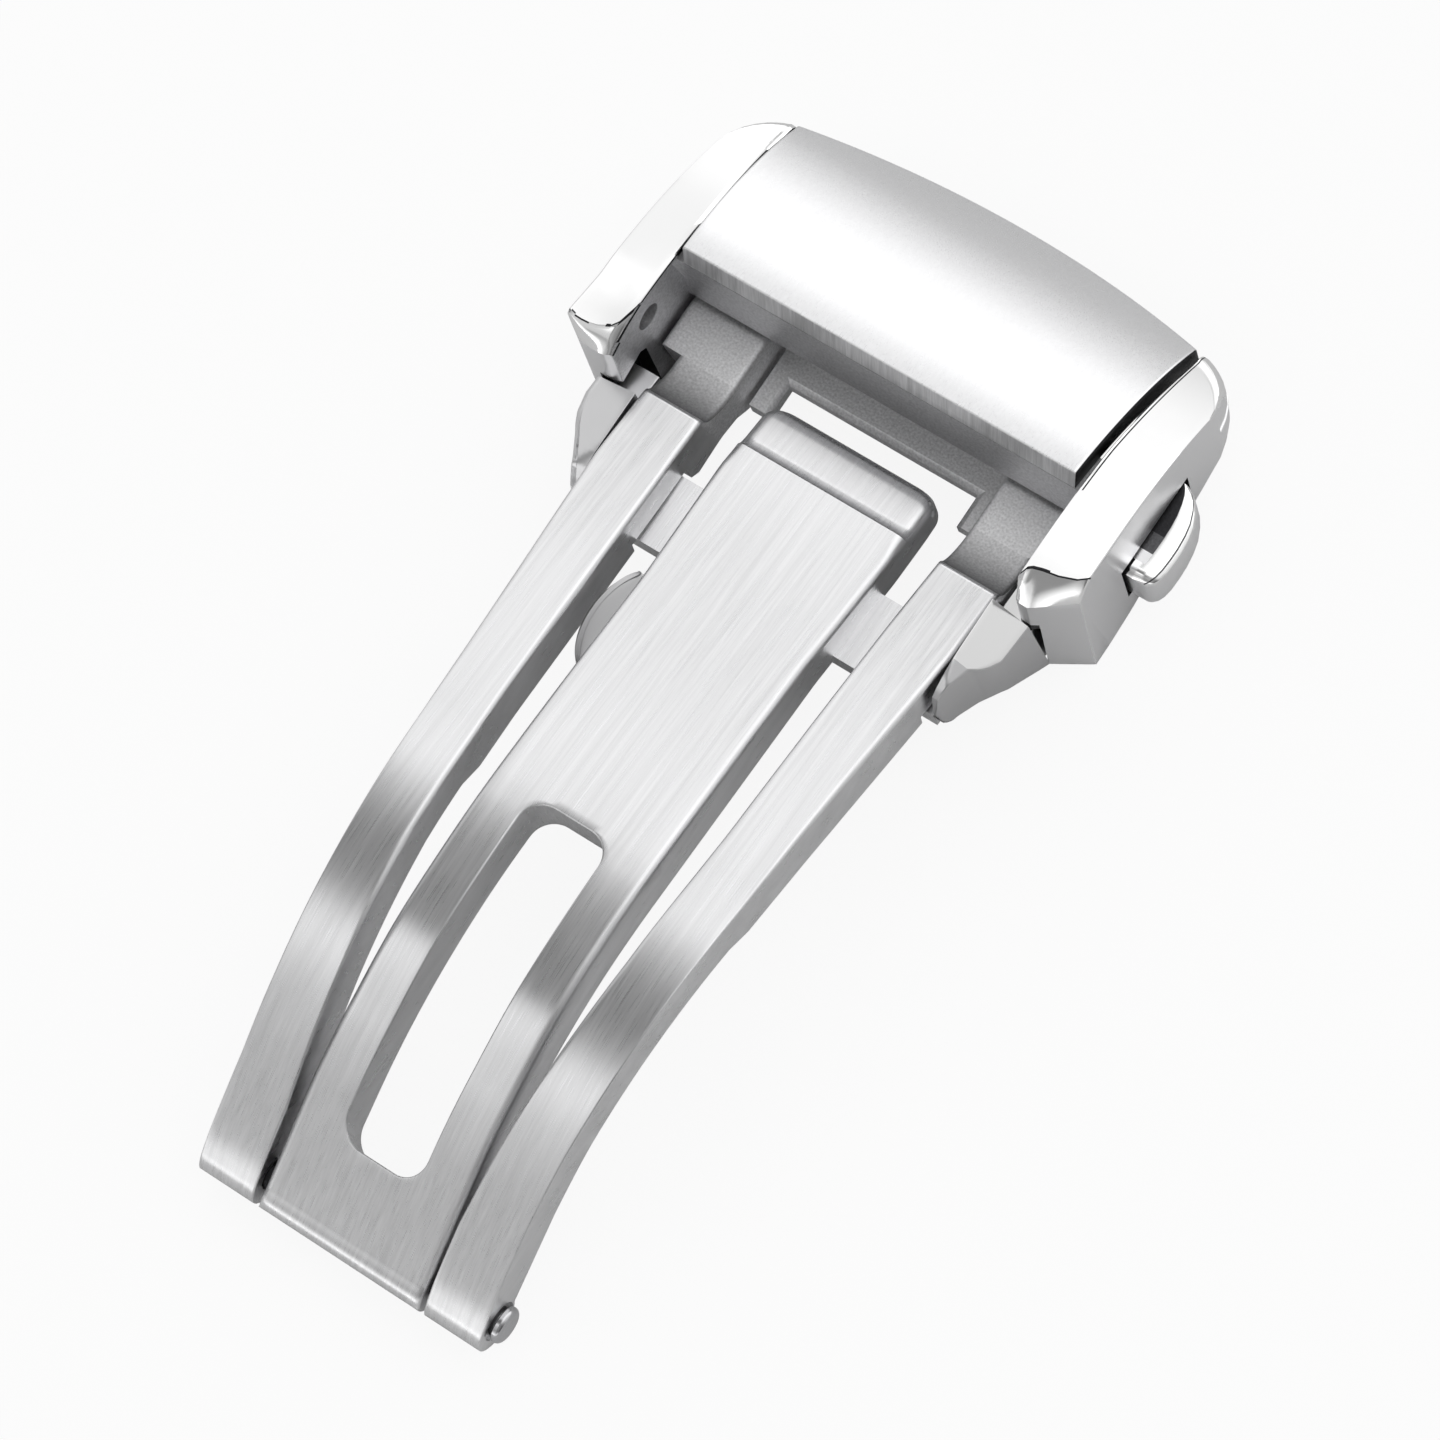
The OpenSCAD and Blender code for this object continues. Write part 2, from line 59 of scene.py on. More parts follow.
MM = 0.001
FOLD = (-22.0, 1.3)             # fold hinge (Y, Z); its height is also the radius of the roll
ROLL_END = FOLD[0] - FOLD[1]    # near end of the clasp
HINGE = (13.9, 2.7)             # head hinge (Y, Z)
HINGE_R = 1.4                   # radius of the hinge blocks
WALL_X = 9.05                   # inner face of each cheek
CHEEK_T = 2.2                   # thickness of a cheek
BAR_HOLE = (12.3, 6.4)          # hole for the strap's bar in each cheek (Y, Z)
BAR_HOLE_R = 0.58


# ---------------------------------------------------------------- materials

def linear(code, alpha=1.0):
    """sRGB hex colour as linear RGBA: c / 12.92 up to 0.04045, and above that
    ((c + 0.055) / 1.055) ** 2.4."""
    out = []
    for i in (1, 3, 5):
        c = int(code[i:i + 2], 16) / 255
        out.append(c / 12.92 if c <= 0.04045 else ((c + 0.055) / 1.055) ** 2.4)
    return (*out, alpha)


def add_node(tree, kind, values=None, **props):
    """Adds one shader node, sets its properties, gives every input socket in values its
    constant or a link from another node's output, and returns the node."""
    made = tree.nodes.new(kind)
    for key, value in props.items():
        setattr(made, key, value)
    for key, value in (values or {}).items():
        if isinstance(value, bpy.types.NodeSocket):
            tree.links.new(value, made.inputs[key])
        else:
            made.inputs[key].default_value = value
    return made


def new_tree(name):
    """An empty material and its node tree."""
    mat = bpy.data.materials.new(name)
    mat.use_nodes = True
    mat.node_tree.nodes.clear()
    return mat, mat.node_tree


def shade(tree, colour, level):
    """The socket of a colour multiplied by a grey of the given level."""
    grey = add_node(tree, "ShaderNodeCombineColor", {"Red": level, "Green": level, "Blue": level})
    product = add_node(tree, "ShaderNodeMix", data_type="RGBA", blend_type="MULTIPLY", values={
        "Factor": 1.0, 6: colour, 7: grey.outputs["Color"]})
    return product.outputs[2]


def brushed_steel(name, colour, grain_mm=(0.045, 2.2, 0.045), rough=0.3, depth=0.3, streak=0.12,
                  spread=0.7):
    """Stainless steel brushed along Y: noise stretched to grain_mm along X, Y and Z varies the
    tint, the roughness and a bump of 0.004 mm, and the highlight spreads across the grain by
    spread (the anisotropy). The real grain is finer and wouldn't show in the render."""
    mat, tree = new_tree(name)
    place = add_node(tree, "ShaderNodeTexCoord").outputs["Object"]
    scale = [1 / (MM * size) for size in grain_mm]
    fine = add_node(tree, "ShaderNodeMapping", {"Vector": place, "Scale": scale})
    wide = add_node(tree, "ShaderNodeMapping", {
        "Vector": place, "Scale": [0.3 * size for size in scale]})
    grain = add_node(tree, "ShaderNodeTexNoise", {
        "Vector": fine.outputs["Vector"], "Scale": 1.0, "Detail": 3.0, "Roughness": 0.65})
    wide_grain = add_node(tree, "ShaderNodeTexNoise", {
        "Vector": wide.outputs["Vector"], "Scale": 1.0, "Detail": 2.0})
    both = add_node(tree, "ShaderNodeMath", {
        0: grain.outputs["Fac"], 1: wide_grain.outputs["Fac"]}, operation="ADD")
    tint = add_node(tree, "ShaderNodeMapRange", {
        "Value": both.outputs["Value"], "From Min": 0.7, "From Max": 1.3,
        "To Min": 1.0 - streak, "To Max": 1.0})
    rough_map = add_node(tree, "ShaderNodeMapRange", {
        "Value": grain.outputs["Fac"], "From Min": 0.3, "From Max": 0.7,
        "To Min": rough - 0.05, "To Max": rough + 0.07})
    bump = add_node(tree, "ShaderNodeBump", {
        "Height": grain.outputs["Fac"], "Strength": depth, "Distance": 0.004 * MM})
    across = add_node(tree, "ShaderNodeVectorTransform", {"Vector": (1.0, 0.02, 0.03)},
                      vector_type="NORMAL", convert_from="OBJECT", convert_to="WORLD")
    steel = add_node(tree, "ShaderNodeBsdfPrincipled", {
        "Metallic": 1.0, "Anisotropic": spread, "Roughness": rough_map.outputs["Result"],
        "Base Color": shade(tree, colour, tint.outputs["Result"]),
        "Normal": bump.outputs["Normal"], "Tangent": across.outputs["Vector"]})
    add_node(tree, "ShaderNodeOutputMaterial", {"Surface": steel.outputs["BSDF"]})
    return mat


def blasted_steel(name, colour, rough=0.45, corner=None):
    """Stainless steel with an even, fine grain: noise of 0.1 mm in tint and in a bump of
    0.01 mm. corner is (y0, y1, tint) and paints shade: the tint falls to that value from y1 to
    y0, in mm, as painted shade in a hollow."""
    mat, tree = new_tree(name)
    place = add_node(tree, "ShaderNodeTexCoord").outputs["Object"]
    grain = add_node(tree, "ShaderNodeTexNoise", {
        "Vector": place, "Scale": 1 / (0.1 * MM), "Detail": 4.0})
    level = add_node(tree, "ShaderNodeMapRange", {
        "Value": grain.outputs["Fac"], "From Min": 0.3, "From Max": 0.7,
        "To Min": 0.78, "To Max": 1.08}).outputs["Result"]
    if corner:
        # painted shade: the tint darkens from y1 down to y0
        y0, y1, low = corner
        split = add_node(tree, "ShaderNodeSeparateXYZ", {"Vector": place})
        shade_ramp = add_node(tree, "ShaderNodeMapRange", {
            "Value": split.outputs["Y"], "From Min": y0 * MM, "From Max": y1 * MM,
            "To Min": low, "To Max": 1.0})
        level = add_node(tree, "ShaderNodeMath", {
            0: level, 1: shade_ramp.outputs["Result"]}, operation="MULTIPLY").outputs["Value"]
    bump = add_node(tree, "ShaderNodeBump", {
        "Height": grain.outputs["Fac"], "Strength": 1.0, "Distance": 0.01 * MM})
    steel = add_node(tree, "ShaderNodeBsdfPrincipled", {
        "Metallic": 1.0, "Roughness": rough, "Base Color": shade(tree, colour, level),
        "Normal": bump.outputs["Normal"]})
    add_node(tree, "ShaderNodeOutputMaterial", {"Surface": steel.outputs["BSDF"]})
    return mat


def polished_steel(name, colour, rough=0.08):
    """Polished stainless steel, with faint handling marks 1 / 0.9 mm apart in the roughness."""
    mat, tree = new_tree(name)
    place = add_node(tree, "ShaderNodeTexCoord").outputs["Object"]
    marks = add_node(tree, "ShaderNodeTexNoise", {
        "Vector": place, "Scale": 0.9 / MM, "Detail": 4.0})
    rough_map = add_node(tree, "ShaderNodeMapRange", {
        "Value": marks.outputs["Fac"], "From Min": 0.35, "From Max": 0.7,
        "To Min": rough, "To Max": rough + 0.05})
    steel = add_node(tree, "ShaderNodeBsdfPrincipled", {
        "Metallic": 1.0, "Base Color": colour, "Roughness": rough_map.outputs["Result"]})
    add_node(tree, "ShaderNodeOutputMaterial", {"Surface": steel.outputs["BSDF"]})
    return mat


MATERIALS = {}


def make_materials(s):
    """All the clasp's materials, by record slot or finish."""
    # brushed 316L stainless of the blade and the arms, grain along the strap
    MATERIALS["blade"] = brushed_steel(
        "Brushed steel, blades", s.brushed, grain_mm=(0.05, 3.0, 0.5), streak=0.17)
    # the cover's front edge, milled across its thickness: short upright marks
    MATERIALS["lip"] = brushed_steel(
        "Milled steel, cover edge", linear("#E8E8E9"), grain_mm=(0.06, 0.6, 1.4), rough=0.5,
        streak=0.3, spread=0.0)
    # the cover's finer brushing
    MATERIALS["cover"] = brushed_steel("Brushed steel, cover", s.cover, streak=0.05, depth=0.2)
    # hinge blocks and bridge: the same steel as cast and blasted, not brushed
    MATERIALS["satin"] = blasted_steel("Blasted steel, hinge blocks", s.blasted, rough=0.55)
    # front wall of the head: ground steel, darker
    MATERIALS["wall"] = blasted_steel("Ground steel, head wall", s.ground, rough=0.5)
    # painted shade: dark steel for the insides of gaps and recesses and for dark lines along edges,
    # where shade falls
    MATERIALS["recess"] = blasted_steel("Painted shade, dark steel in recesses", linear("#38383A"), rough=0.5)
    # mirror polished 316L of cheeks, pushers and ears
    MATERIALS["polished"] = polished_steel("Polished steel", s.polished)
    # the same steel less finely polished, on the lug and the right ear
    MATERIALS["tumbled"] = polished_steel("Tumbled steel", linear("#CFCFD0"), rough=0.28)
    # painted shade: a mid grey where the pusher's root meets its recess and along a line inside its
    # rim
    MATERIALS["mid_shade"] = blasted_steel("Painted shade, pusher root", linear("#5A5A5C"), rough=0.4)
    # fine ground flanks of cheeks, pushers and the left ear
    MATERIALS["flank"] = polished_steel(
        "Fine ground steel, flanks", linear("#E8E8E9"), rough=0.28)
    # hollows behind the arm ends, rough from casting, with painted shade: the tint darkens towards
    # the arm
    MATERIALS["hollow"] = blasted_steel(
        "Cast steel, hollows", linear("#F0F0F1"), rough=0.6, corner=(10.2, 12.2, 0.36))
    # turned pins and screws
    MATERIALS["pin"] = polished_steel("Turned steel, pins", s.turned, rough=0.16)
    # rolled spring strip
    MATERIALS["spring"] = polished_steel("Spring steel strip", s.spring, rough=0.28)


SLOT_MATERIAL = {
    "blade_steel": "blade",
    "polished_steel": "polished",
    "head_steel": "wall",
    "pin_steel": "pin",
    "spring_steel": "spring",
}


def dress_frame():
    """Puts a material on every CAD node by its record slot."""
    slots = {s["node"]: s["material_slot"] for s in frame["record"]["subparts"]}
    for node, obj in frame["nodes"].items():
        obj.data.materials.clear()
        obj.data.materials.append(MATERIALS[SLOT_MATERIAL[slots[node]]])


# ------------------------------------------------------------------ surfaces

def unit(v):
    """v divided by its length along the last axis."""
    return v / np.maximum(np.linalg.norm(v, axis=-1, keepdims=True), 1e-9)


def rounded_slab(top, low, edge, ends=(0.0, 0.0), steps=4):
    """Rings round the solid between two sheets of points, each (n, m, 3) in mm.

    Row i of both sheets makes one ring. Its four corners are quarter circles of radius
    min(edge, 0.45 t), with t the distance from top to low at that corner:
    p = c + r (o sin a + d (1 - cos a)), o pointing out of the side and d from top to low.
    edge is one radius, or the radii of the first column, the last column and the underside.
    ends gives the radius on the first and the last ring, where the ring shrinks by
    r (1 - cos a) as it moves out by r sin a."""
    angles = np.linspace(0, math.pi / 2, steps + 1)
    first, last, under = edge if isinstance(edge, tuple) else (edge, edge, edge)
    t, b = top.copy(), low.copy()
    corner = {}
    for j, k, over in ((-1, -2, last), (0, 1, first)):
        span = b[:, j] - t[:, j]
        tall = 0.45 * np.linalg.norm(span, axis=-1, keepdims=True)
        r, s = np.minimum(over, tall), np.minimum(under, tall)
        o_t, o_b = unit(t[:, j] - t[:, k]), unit(b[:, j] - b[:, k])
        d = unit(span)
        t[:, j] = t[:, j] - o_t * r
        b[:, j] = b[:, j] - o_b * s
        corner[j] = (
            [t[:, j] + r * (o_t * math.sin(a) + d * (1 - math.cos(a))) for a in angles[1:]]
            + [b[:, j] + s * (o_b * math.sin(a) - d * (1 - math.cos(a))) for a in angles[:0:-1]]
        )
    parts = [t[:, j] for j in range(t.shape[1])]
    parts += corner[-1]
    parts += [b[:, j] for j in range(b.shape[1] - 1, -1, -1)]
    parts += corner[0][::-1]
    out = list(np.stack(parts, axis=1))
    for which, radius in ((0, ends[0]), (1, ends[1])):
        if radius <= 0:
            continue
        ring = out[0] if which == 0 else out[-1]
        other = out[1] if which == 0 else out[-2]
        inward = unit(other - ring)
        around = np.roll(ring, -1, 0) - np.roll(ring, 1, 0)
        normal = unit(np.cross(around, inward))
        centre = ring.mean(0)
        normal = normal * np.sign(np.sum((ring - centre) * normal, axis=-1).sum())
        made = [ring + inward * radius * (1 - math.sin(a)) - normal * radius * (1 - math.cos(a))
                for a in angles]
        out = made[::-1] + out[1:] if which == 0 else out[:-1] + made
    return np.array(out)


def skin(rings):
    """Vertices and faces of a tube through rings (n, p, 3), with a fan on each end."""
    n, p, _ = rings.shape
    i = np.arange(n - 1)[:, None]
    j = np.arange(p)[None, :]
    after = (j + 1) % p
    quads = np.stack([i * p + j, i * p + after, (i + 1) * p + after, (i + 1) * p + j], axis=-1)
    faces = quads.reshape(-1, 4).tolist()
    verts = np.vstack([rings.reshape(-1, 3), rings[0].mean(0), rings[-1].mean(0)])
    for k in range(p):
        faces.append([n * p, (k + 1) % p, k])
        faces.append([n * p + 1, (n - 1) * p + k, (n - 1) * p + (k + 1) % p])
    return verts, faces


def raw_object(name, verts, faces, merge):
    """An object in the scene from points in metres, its faces pointing outwards; merge joins
    points that lie together."""
    mesh = bpy.data.meshes.new(name)
    mesh.from_pydata(verts, [], faces)
    work = bmesh.new()
    work.from_mesh(mesh)
    if merge:
        bmesh.ops.remove_doubles(work, verts=work.verts, dist=0.0002 * MM)
        bmesh.ops.dissolve_degenerate(work, edges=work.edges, dist=0.0001 * MM)
    bmesh.ops.recalc_face_normals(work, faces=work.faces)
    if work.calc_volume(signed=True) < 0:
        bmesh.ops.reverse_faces(work, faces=work.faces)
    work.to_mesh(mesh)
    work.free()
    obj = bpy.data.objects.new(name, mesh)
    bpy.context.scene.collection.objects.link(obj)
    return obj


def piece(name, verts, faces, material, body, nodes=(), sharp=32, cutters=(), pick=None,
          careful=False):
    """Makes one object from points in mm, cuts it if asked, and lets it ride on a CAD body.

    material is one key of MATERIALS or a tuple of them; pick(centres, normals) then gives the
    index for every face, from its centre in mm and its normal. careful makes the cuts allow for
    a surface that touches itself."""
    obj = raw_object(name, (np.asarray(verts) * MM).tolist(), faces, merge=True)
    for cutter in cutters:
        modifier = obj.modifiers.new("cut", "BOOLEAN")
        modifier.operation = "DIFFERENCE"
        modifier.solver = "EXACT"
        modifier.use_self = careful
        modifier.object = cutter
        bpy.context.view_layer.objects.active = obj
        bpy.ops.object.modifier_apply(modifier=modifier.name)
        bpy.data.objects.remove(cutter)
    mesh = obj.data
    mesh.materials.clear()
    for key in (material,) if isinstance(material, str) else material:
        mesh.materials.append(MATERIALS[key])
    if pick:
        centres = np.zeros(3 * len(mesh.polygons))
        normals = np.zeros(3 * len(mesh.polygons))
        mesh.polygons.foreach_get("center", centres)
        mesh.polygons.foreach_get("normal", normals)
        index = pick(centres.reshape(-1, 3) / MM, normals.reshape(-1, 3))
        mesh.polygons.foreach_set("material_index", np.asarray(index, dtype=np.int32))
    mesh.polygons.foreach_set("use_smooth", [True] * len(mesh.polygons))
    mesh.set_sharp_from_angle(angle=math.radians(sharp))
    even = obj.modifiers.new("even shading", "WEIGHTED_NORMAL")
    even.keep_sharp = True
    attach(obj, body)
    if nodes:
        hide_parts(*nodes)
    return obj


def cutter_prism(points, x0, x1):
    """A closed prism over a convex (Y, Z) outline from x0 to x1, used only for cutting."""
    k = len(points)
    verts = [(x * MM, y * MM, z * MM) for x in (x0, x1) for y, z in points]
    faces = [list(range(k))[::-1], list(range(k, 2 * k))]
    faces += [[i, (i + 1) % k, k + (i + 1) % k, k + i] for i in range(k)]
    return raw_object("cutter", verts, faces, merge=False)


def circle_points(y, z, r, count=48):
    """Points of a circle in the (Y, Z) plane."""
    return [(y + r * math.cos(2 * math.pi * i / count), z + r * math.sin(2 * math.pi * i / count))
            for i in range(count)]


def arc_points(cy, cz, r, a0, a1, count):
    """count points of an arc in (Y, Z); the angle in degrees is counted back from the top."""
    a = np.radians(np.linspace(a0, a1, count))
    return np.column_stack([cy - r * np.sin(a), cz + r * np.cos(a)])


def line_points(points, gap):
    """A polyline through points with steps no longer than gap, corners kept."""
    out = [np.array(points[0], float)]
    for p, q in zip(points[:-1], points[1:]):
        p, q = np.array(p, float), np.array(q, float)
        count = max(1, int(math.ceil(np.linalg.norm(q - p) / gap)))
        out += [p + (q - p) * (i + 1) / count for i in range(count)]
    return np.array(out)


def run_along(points):
    """Distance along a polyline from its first point to each point."""
    return np.concatenate([[0], np.cumsum(np.linalg.norm(np.diff(points, axis=0), axis=1))])


def resample(points, count):
    """count points at equal steps along a polyline."""
    points = np.asarray(points, float)
    run = run_along(points)
    at = np.linspace(0, run[-1], count)
    return np.column_stack([np.interp(at, run, points[:, k]) for k in range(points.shape[1])])


def soften(points, width, keep):
    """Spreads the bends of a (Y, Z) polyline: its direction, as an angle along its length, is
    averaged with a Gaussian of width mm, and the curve is summed again. The last keep mm stay,
    and both ends stay in place."""
    points = resample(points, 500)
    step = np.diff(points, axis=0)
    size = np.linalg.norm(step, axis=1)
    angle = np.unwrap(np.arctan2(step[:, 1], step[:, 0]))
    run = np.cumsum(size)
    pad = int(4 * width / size.mean())
    kernel = np.exp(-0.5 * (np.arange(-pad, pad + 1) * size.mean() / width) ** 2)
    full = np.concatenate([2 * angle[0] - angle[pad:0:-1], angle, np.full(pad, angle[-1])])
    soft = np.convolve(full, kernel / kernel.sum(), mode="valid")
    weight = np.clip((run[-1] - run - keep) / (2 * width), 0, 1)
    angle = angle + (soft - angle) * weight
    made = np.vstack([points[:1], points[0] + np.cumsum(
        np.column_stack([np.cos(angle), np.sin(angle)]) * size[:, None], axis=0)])
    fade = np.concatenate([[0], run / run[-1]])[:, None]
    return made + (points[-1] - made[-1]) * fade


def smooth_step(t):
    """3 t^2 - 2 t^3 for t from 0 to 1, flat outside."""
    t = np.clip(t, 0, 1)
    return t * t * (3 - 2 * t)


def quarter_fall(t):
    """1 - sqrt(1 - t^2) for t from 0 to 1: how far a quarter circle has fallen."""
    return 1 - np.sqrt(1 - np.clip(t, 0, 1) ** 2)


def side_name(side):
    """The side of the clasp at negative or positive X."""
    return "left" if side < 0 else "right"


# ------------------------------------------------------------- fork and blade

ARM_BEND_Y = -8.71      # Y of the centre of the arms' bend
BLADE_BEND_Y = -8.66    # the same of the centre blade
SAG_Y = -16.0           # where tops start to fall towards the fold roll
SAG_RUN = 6.0
ARM_SAG = 0.26
BLADE_SAG = 0.33
ARM_RISE = 0.55         # swell of the arms' straight part: ARM_RISE t (1 - t), t over y -5..10
ARM_UNDER_R = 1.0       # radius of the roll where an arm's underside leaves it
PIN_BORE_R = 0.66
PIN_HEAD_R = 0.84       # room for the fold pin's head in the right arm


def root_sag(y, depth):
    """Extra fall of a top towards the fold roll: depth ((SAG_Y - y) / SAG_RUN)^2 below SAG_Y,
    faded out over the roll's last 0.7 mm."""
    fade = np.sqrt(np.clip((y - ROLL_END) / 0.7, 0, 1))
    return depth * np.clip((SAG_Y - y) / SAG_RUN, 0, None) ** 2 * fade


def bend_line(s, bend_y):
    """Of a strip's top: the height of the bend's centre, Y where the straight part starts, and
    the slope in degrees of the root, the line that touches the bend and the fold roll."""
    centre_z = s.top_z - s.bend_r * math.cos(s.slope)
    straight_y = bend_y + s.bend_r * math.sin(s.slope)
    dy, dz = bend_y - FOLD[0], FOLD[1] - centre_z
    root = math.atan2(dy, dz) - math.acos((s.bend_r - FOLD[1]) / math.hypot(dy, dz))
    return centre_z, straight_y, math.degrees(root)


def arm_chains(s):
    """Matching top and underside points (Y, Z) of an arm, from the fold roll to the hinge: the
    roll, the root, the bend, the straight part with its step over the cross bar, the lip and
    the hollow behind it, and the hinge block with its round end."""
    bend_z, straight_y, root = bend_line(s, ARM_BEND_Y)
    dip = math.degrees(math.asin(s.thick_fold - FOLD[1]))

    def z_at(y):
        return s.top_z - math.tan(s.slope) * (y - straight_y)

    turn = (90, 270 + root - dip, 18)
    under_r = FOLD[1] - (FOLD[1] - ARM_UNDER_R) * smooth_step((np.linspace(*turn) - 180) / 50)
    top = [arc_points(*FOLD, FOLD[1], 90, root, 18)]
    low = [arc_points(*FOLD, under_r, *turn)]
    f = np.linspace(0, 1, 16)[1:-1, None]
    for chain, radius in ((top, s.bend_r), (low, s.bend_r - s.thick_fold)):
        arc = arc_points(ARM_BEND_Y, bend_z, radius, root, -math.degrees(s.slope), 70)
        chain += [chain[0][-1] + (arc[0] - chain[0][-1]) * f, arc]

    mid, bar = s.thick_mid / math.cos(s.slope), s.thick_bar / math.cos(s.slope)
    stops = [   # Y of the top, Y and Z of the underside
        (-5.4, -5.4, z_at(-5.4) - mid), (4.86, 4.86, z_at(4.86) - mid),
        (4.9, 4.9, z_at(4.9) - bar), (8.55, 8.57, z_at(8.57) - bar),
        (8.6, 8.6, 2.6), (8.9, 9.0, 2.22), (9.95, 10.3, 2.2),
    ]
    for top_y, low_y, low_z in stops:
        from_top, from_low = top[-1][-1], low[-1][-1]
        count = max(2, int(abs(top_y - from_top[0]) / 0.6) + 1)
        f = np.linspace(0, 1, count + 1)[1:, None]
        top.append(from_top + (np.array([top_y, z_at(top_y)]) - from_top) * f)
        low.append(from_low + (np.array([low_y, low_z]) - from_low) * f)

    block_top, block_low = HINGE[1] + HINGE_R, HINGE[1] - HINGE_R
    end_y, end_z = top[-1][-1]
    lip_r, hollow_run = 0.25, 1.85
    q = np.radians(np.linspace(0, 90, 15)[1:])
    a = np.radians(np.linspace(0, 80, 7)[1:])
    lip = np.column_stack([end_y + lip_r * np.sin(a), end_z - lip_r * (1 - np.cos(a))])
    hollow = np.column_stack([end_y + 0.26 + hollow_run * (1 - np.cos(q)) ** 0.8,
                              end_z - 0.24 - (end_z - block_top - 0.24) * np.sin(q)])
    under = line_points([low[-1][-1], (10.7, 2.2), (11.6, 2.0), (12.1, 1.6)], 0.05)
    top += [lip, hollow, resample([hollow[-1], (12.17, block_top)], 3)[1:],
            resample([(12.19, block_top), (HINGE[0], block_top)], 8),
            arc_points(*HINGE, HINGE_R, 0, -90, 16)[1:]]
    low += [resample(under, 21)[1:], resample([under[-1], (12.4, 1.4)], 3)[1:],
            resample([(12.42, 1.38), (12.7, block_low), (HINGE[0], block_low)], 8),
            arc_points(*HINGE, HINGE_R, -180, -90, 16)[1:]]
    top, low = np.vstack(top), np.vstack(low)

    bend = int(np.argmax(top[:, 0] > 2.0))
    soft = soften(top[:bend], 0.9, 3.0)
    run = run_along(top[:bend])
    new = np.linspace(0, run[-1], len(soft))
    top[:bend] = np.column_stack([np.interp(run, new, soft[:, c]) for c in (0, 1)])
    t = np.clip((top[:, 0] + 5) / 15, 0, 1)
    top[:, 1] += ARM_RISE * t * (1 - t) - root_sag(top[:, 0], ARM_SAG)
    return top, low


# outer and inner face of each arm: X over Y, with the hinge block wider than the arm
ARM_OUT = ([-23.4, -19, -16, -2, 7, 12.18, 12.185, 16],
           [6.5, 6.5, 6.61, 7.42, 8.03, 8.03, 8.9, 8.9])
ARM_IN = ([-23.4, -20, -15, -9, -3, 2, 7, 10, 16],
          [3.97, 3.97, 4.35, 4.8, 5.08, 5.17, 5.27, 5.37, 5.37])


def build_arm(s, side):
    """One arm of the fork: a strip between its top and its underside, x from ARM_IN to ARM_OUT.
    The outer top edge is rounder towards the head, the inner one from the bend on."""
    top, low = arm_chains(s)
    u = np.array([0, 0.14, 0.3, 0.5, 0.7, 0.86, 1.0])
    at = top[:, 0]
    x0, x1 = np.interp(at, *ARM_IN), np.interp(at, *ARM_OUT)
    x = side * (x0[:, None] + (x1 - x0)[:, None] * u)
    sheets = [np.dstack([x, np.repeat(chain[:, :1], len(u), 1), np.repeat(chain[:, 1:], len(u), 1)])
              for chain in (top, low)]
    outer = (0.07 + 0.17 * smooth_step((at + 8) / 10))[:, None]
    inner = (0.1 + (s.edge - 0.1) * smooth_step((at - SAG_Y) / SAG_RUN))[:, None]
    verts, faces = skin(rounded_slab(*sheets, (inner, outer, 0.06)))
    bore = [cutter_prism(circle_points(*FOLD, PIN_BORE_R), side * 3.5, side * 7.0)]
    if side > 0:
        bore.append(cutter_prism(circle_points(*FOLD, PIN_HEAD_R), 6.2, 7.0))

    def pick(c, n):
        """Brushed up to the lip, then the hollow, then the blasted hinge block."""
        hollow = (c[:, 1] < 12.1) & (n[:, 2] > 0.1)
        return np.where(c[:, 1] > 10.2, np.where(hollow, 2, 1), 0)

    name = "arm_" + side_name(side)
    return piece("fork_" + name, verts, faces, ("blade", "satin", "hollow"), "fork",
                 (name,), cutters=bore, pick=pick)


def build_bridge():
    """The bridge between the hinge blocks: a frame with a chamfered opening for the end of the
    blade, lofted through loops that step out by (dx, dy) at height z."""
    half_x, front_y, back_y = 4.3, 12.25, 13.7
    profile = [(0.0, 0.0, 1.55), (0.0, 0.0, 2.08), (0.03, 0.03, 2.13), (0.2, 0.2, 2.28),
               (0.24, 0.24, 2.3), (0.9, 1.5, 2.3), (0.9, 1.5, 1.55)]
    f = np.linspace(0, 0.95, 20)[:, None]
    loops = []
    for dx, dy, z in profile:
        x, y = half_x + dx, back_y + dy
        corners = np.array([(-x, front_y), (-x, y), (x, y), (x, front_y)])
        run = np.vstack([a + (b - a) * f for a, b in zip(corners[:-1], corners[1:])]
                        + [corners[-1:]])
        loops.append(np.column_stack([run, np.full(len(run), z)]))
    verts, faces = skin(np.stack(loops, axis=1))
    return piece("fork_frame", verts, faces, "satin", "fork", ("fork_bridge",),
                 sharp=25)


# soft steps added to the blade's top, so that light runs over it in bands: rise, start, length
BLADE_SWELLS = ((0.2, -15.5, 4.0), (0.14, -9.5, 4.5), (-0.34, -4.5, 14.0))
SHELF_Y = 10.2          # where the blade steps down to its end pad
BLADE_ROUND = (11.65, 0.75)     # start and radius of the end's rounded corners in plan
BLADE_HALF = ([-23.4, -19, -10, 4, 9, 12.4], [3.72, 3.72, 3.65, 3.65, 3.85, 3.85])
SLOT_Y = (-19.7, -5.6)
SLOT_R = 1.0            # corner radius of the slot
SLOT_HALF = 1.8         # half its width
SLOT_EDGE = 0.08        # rounding of its rim


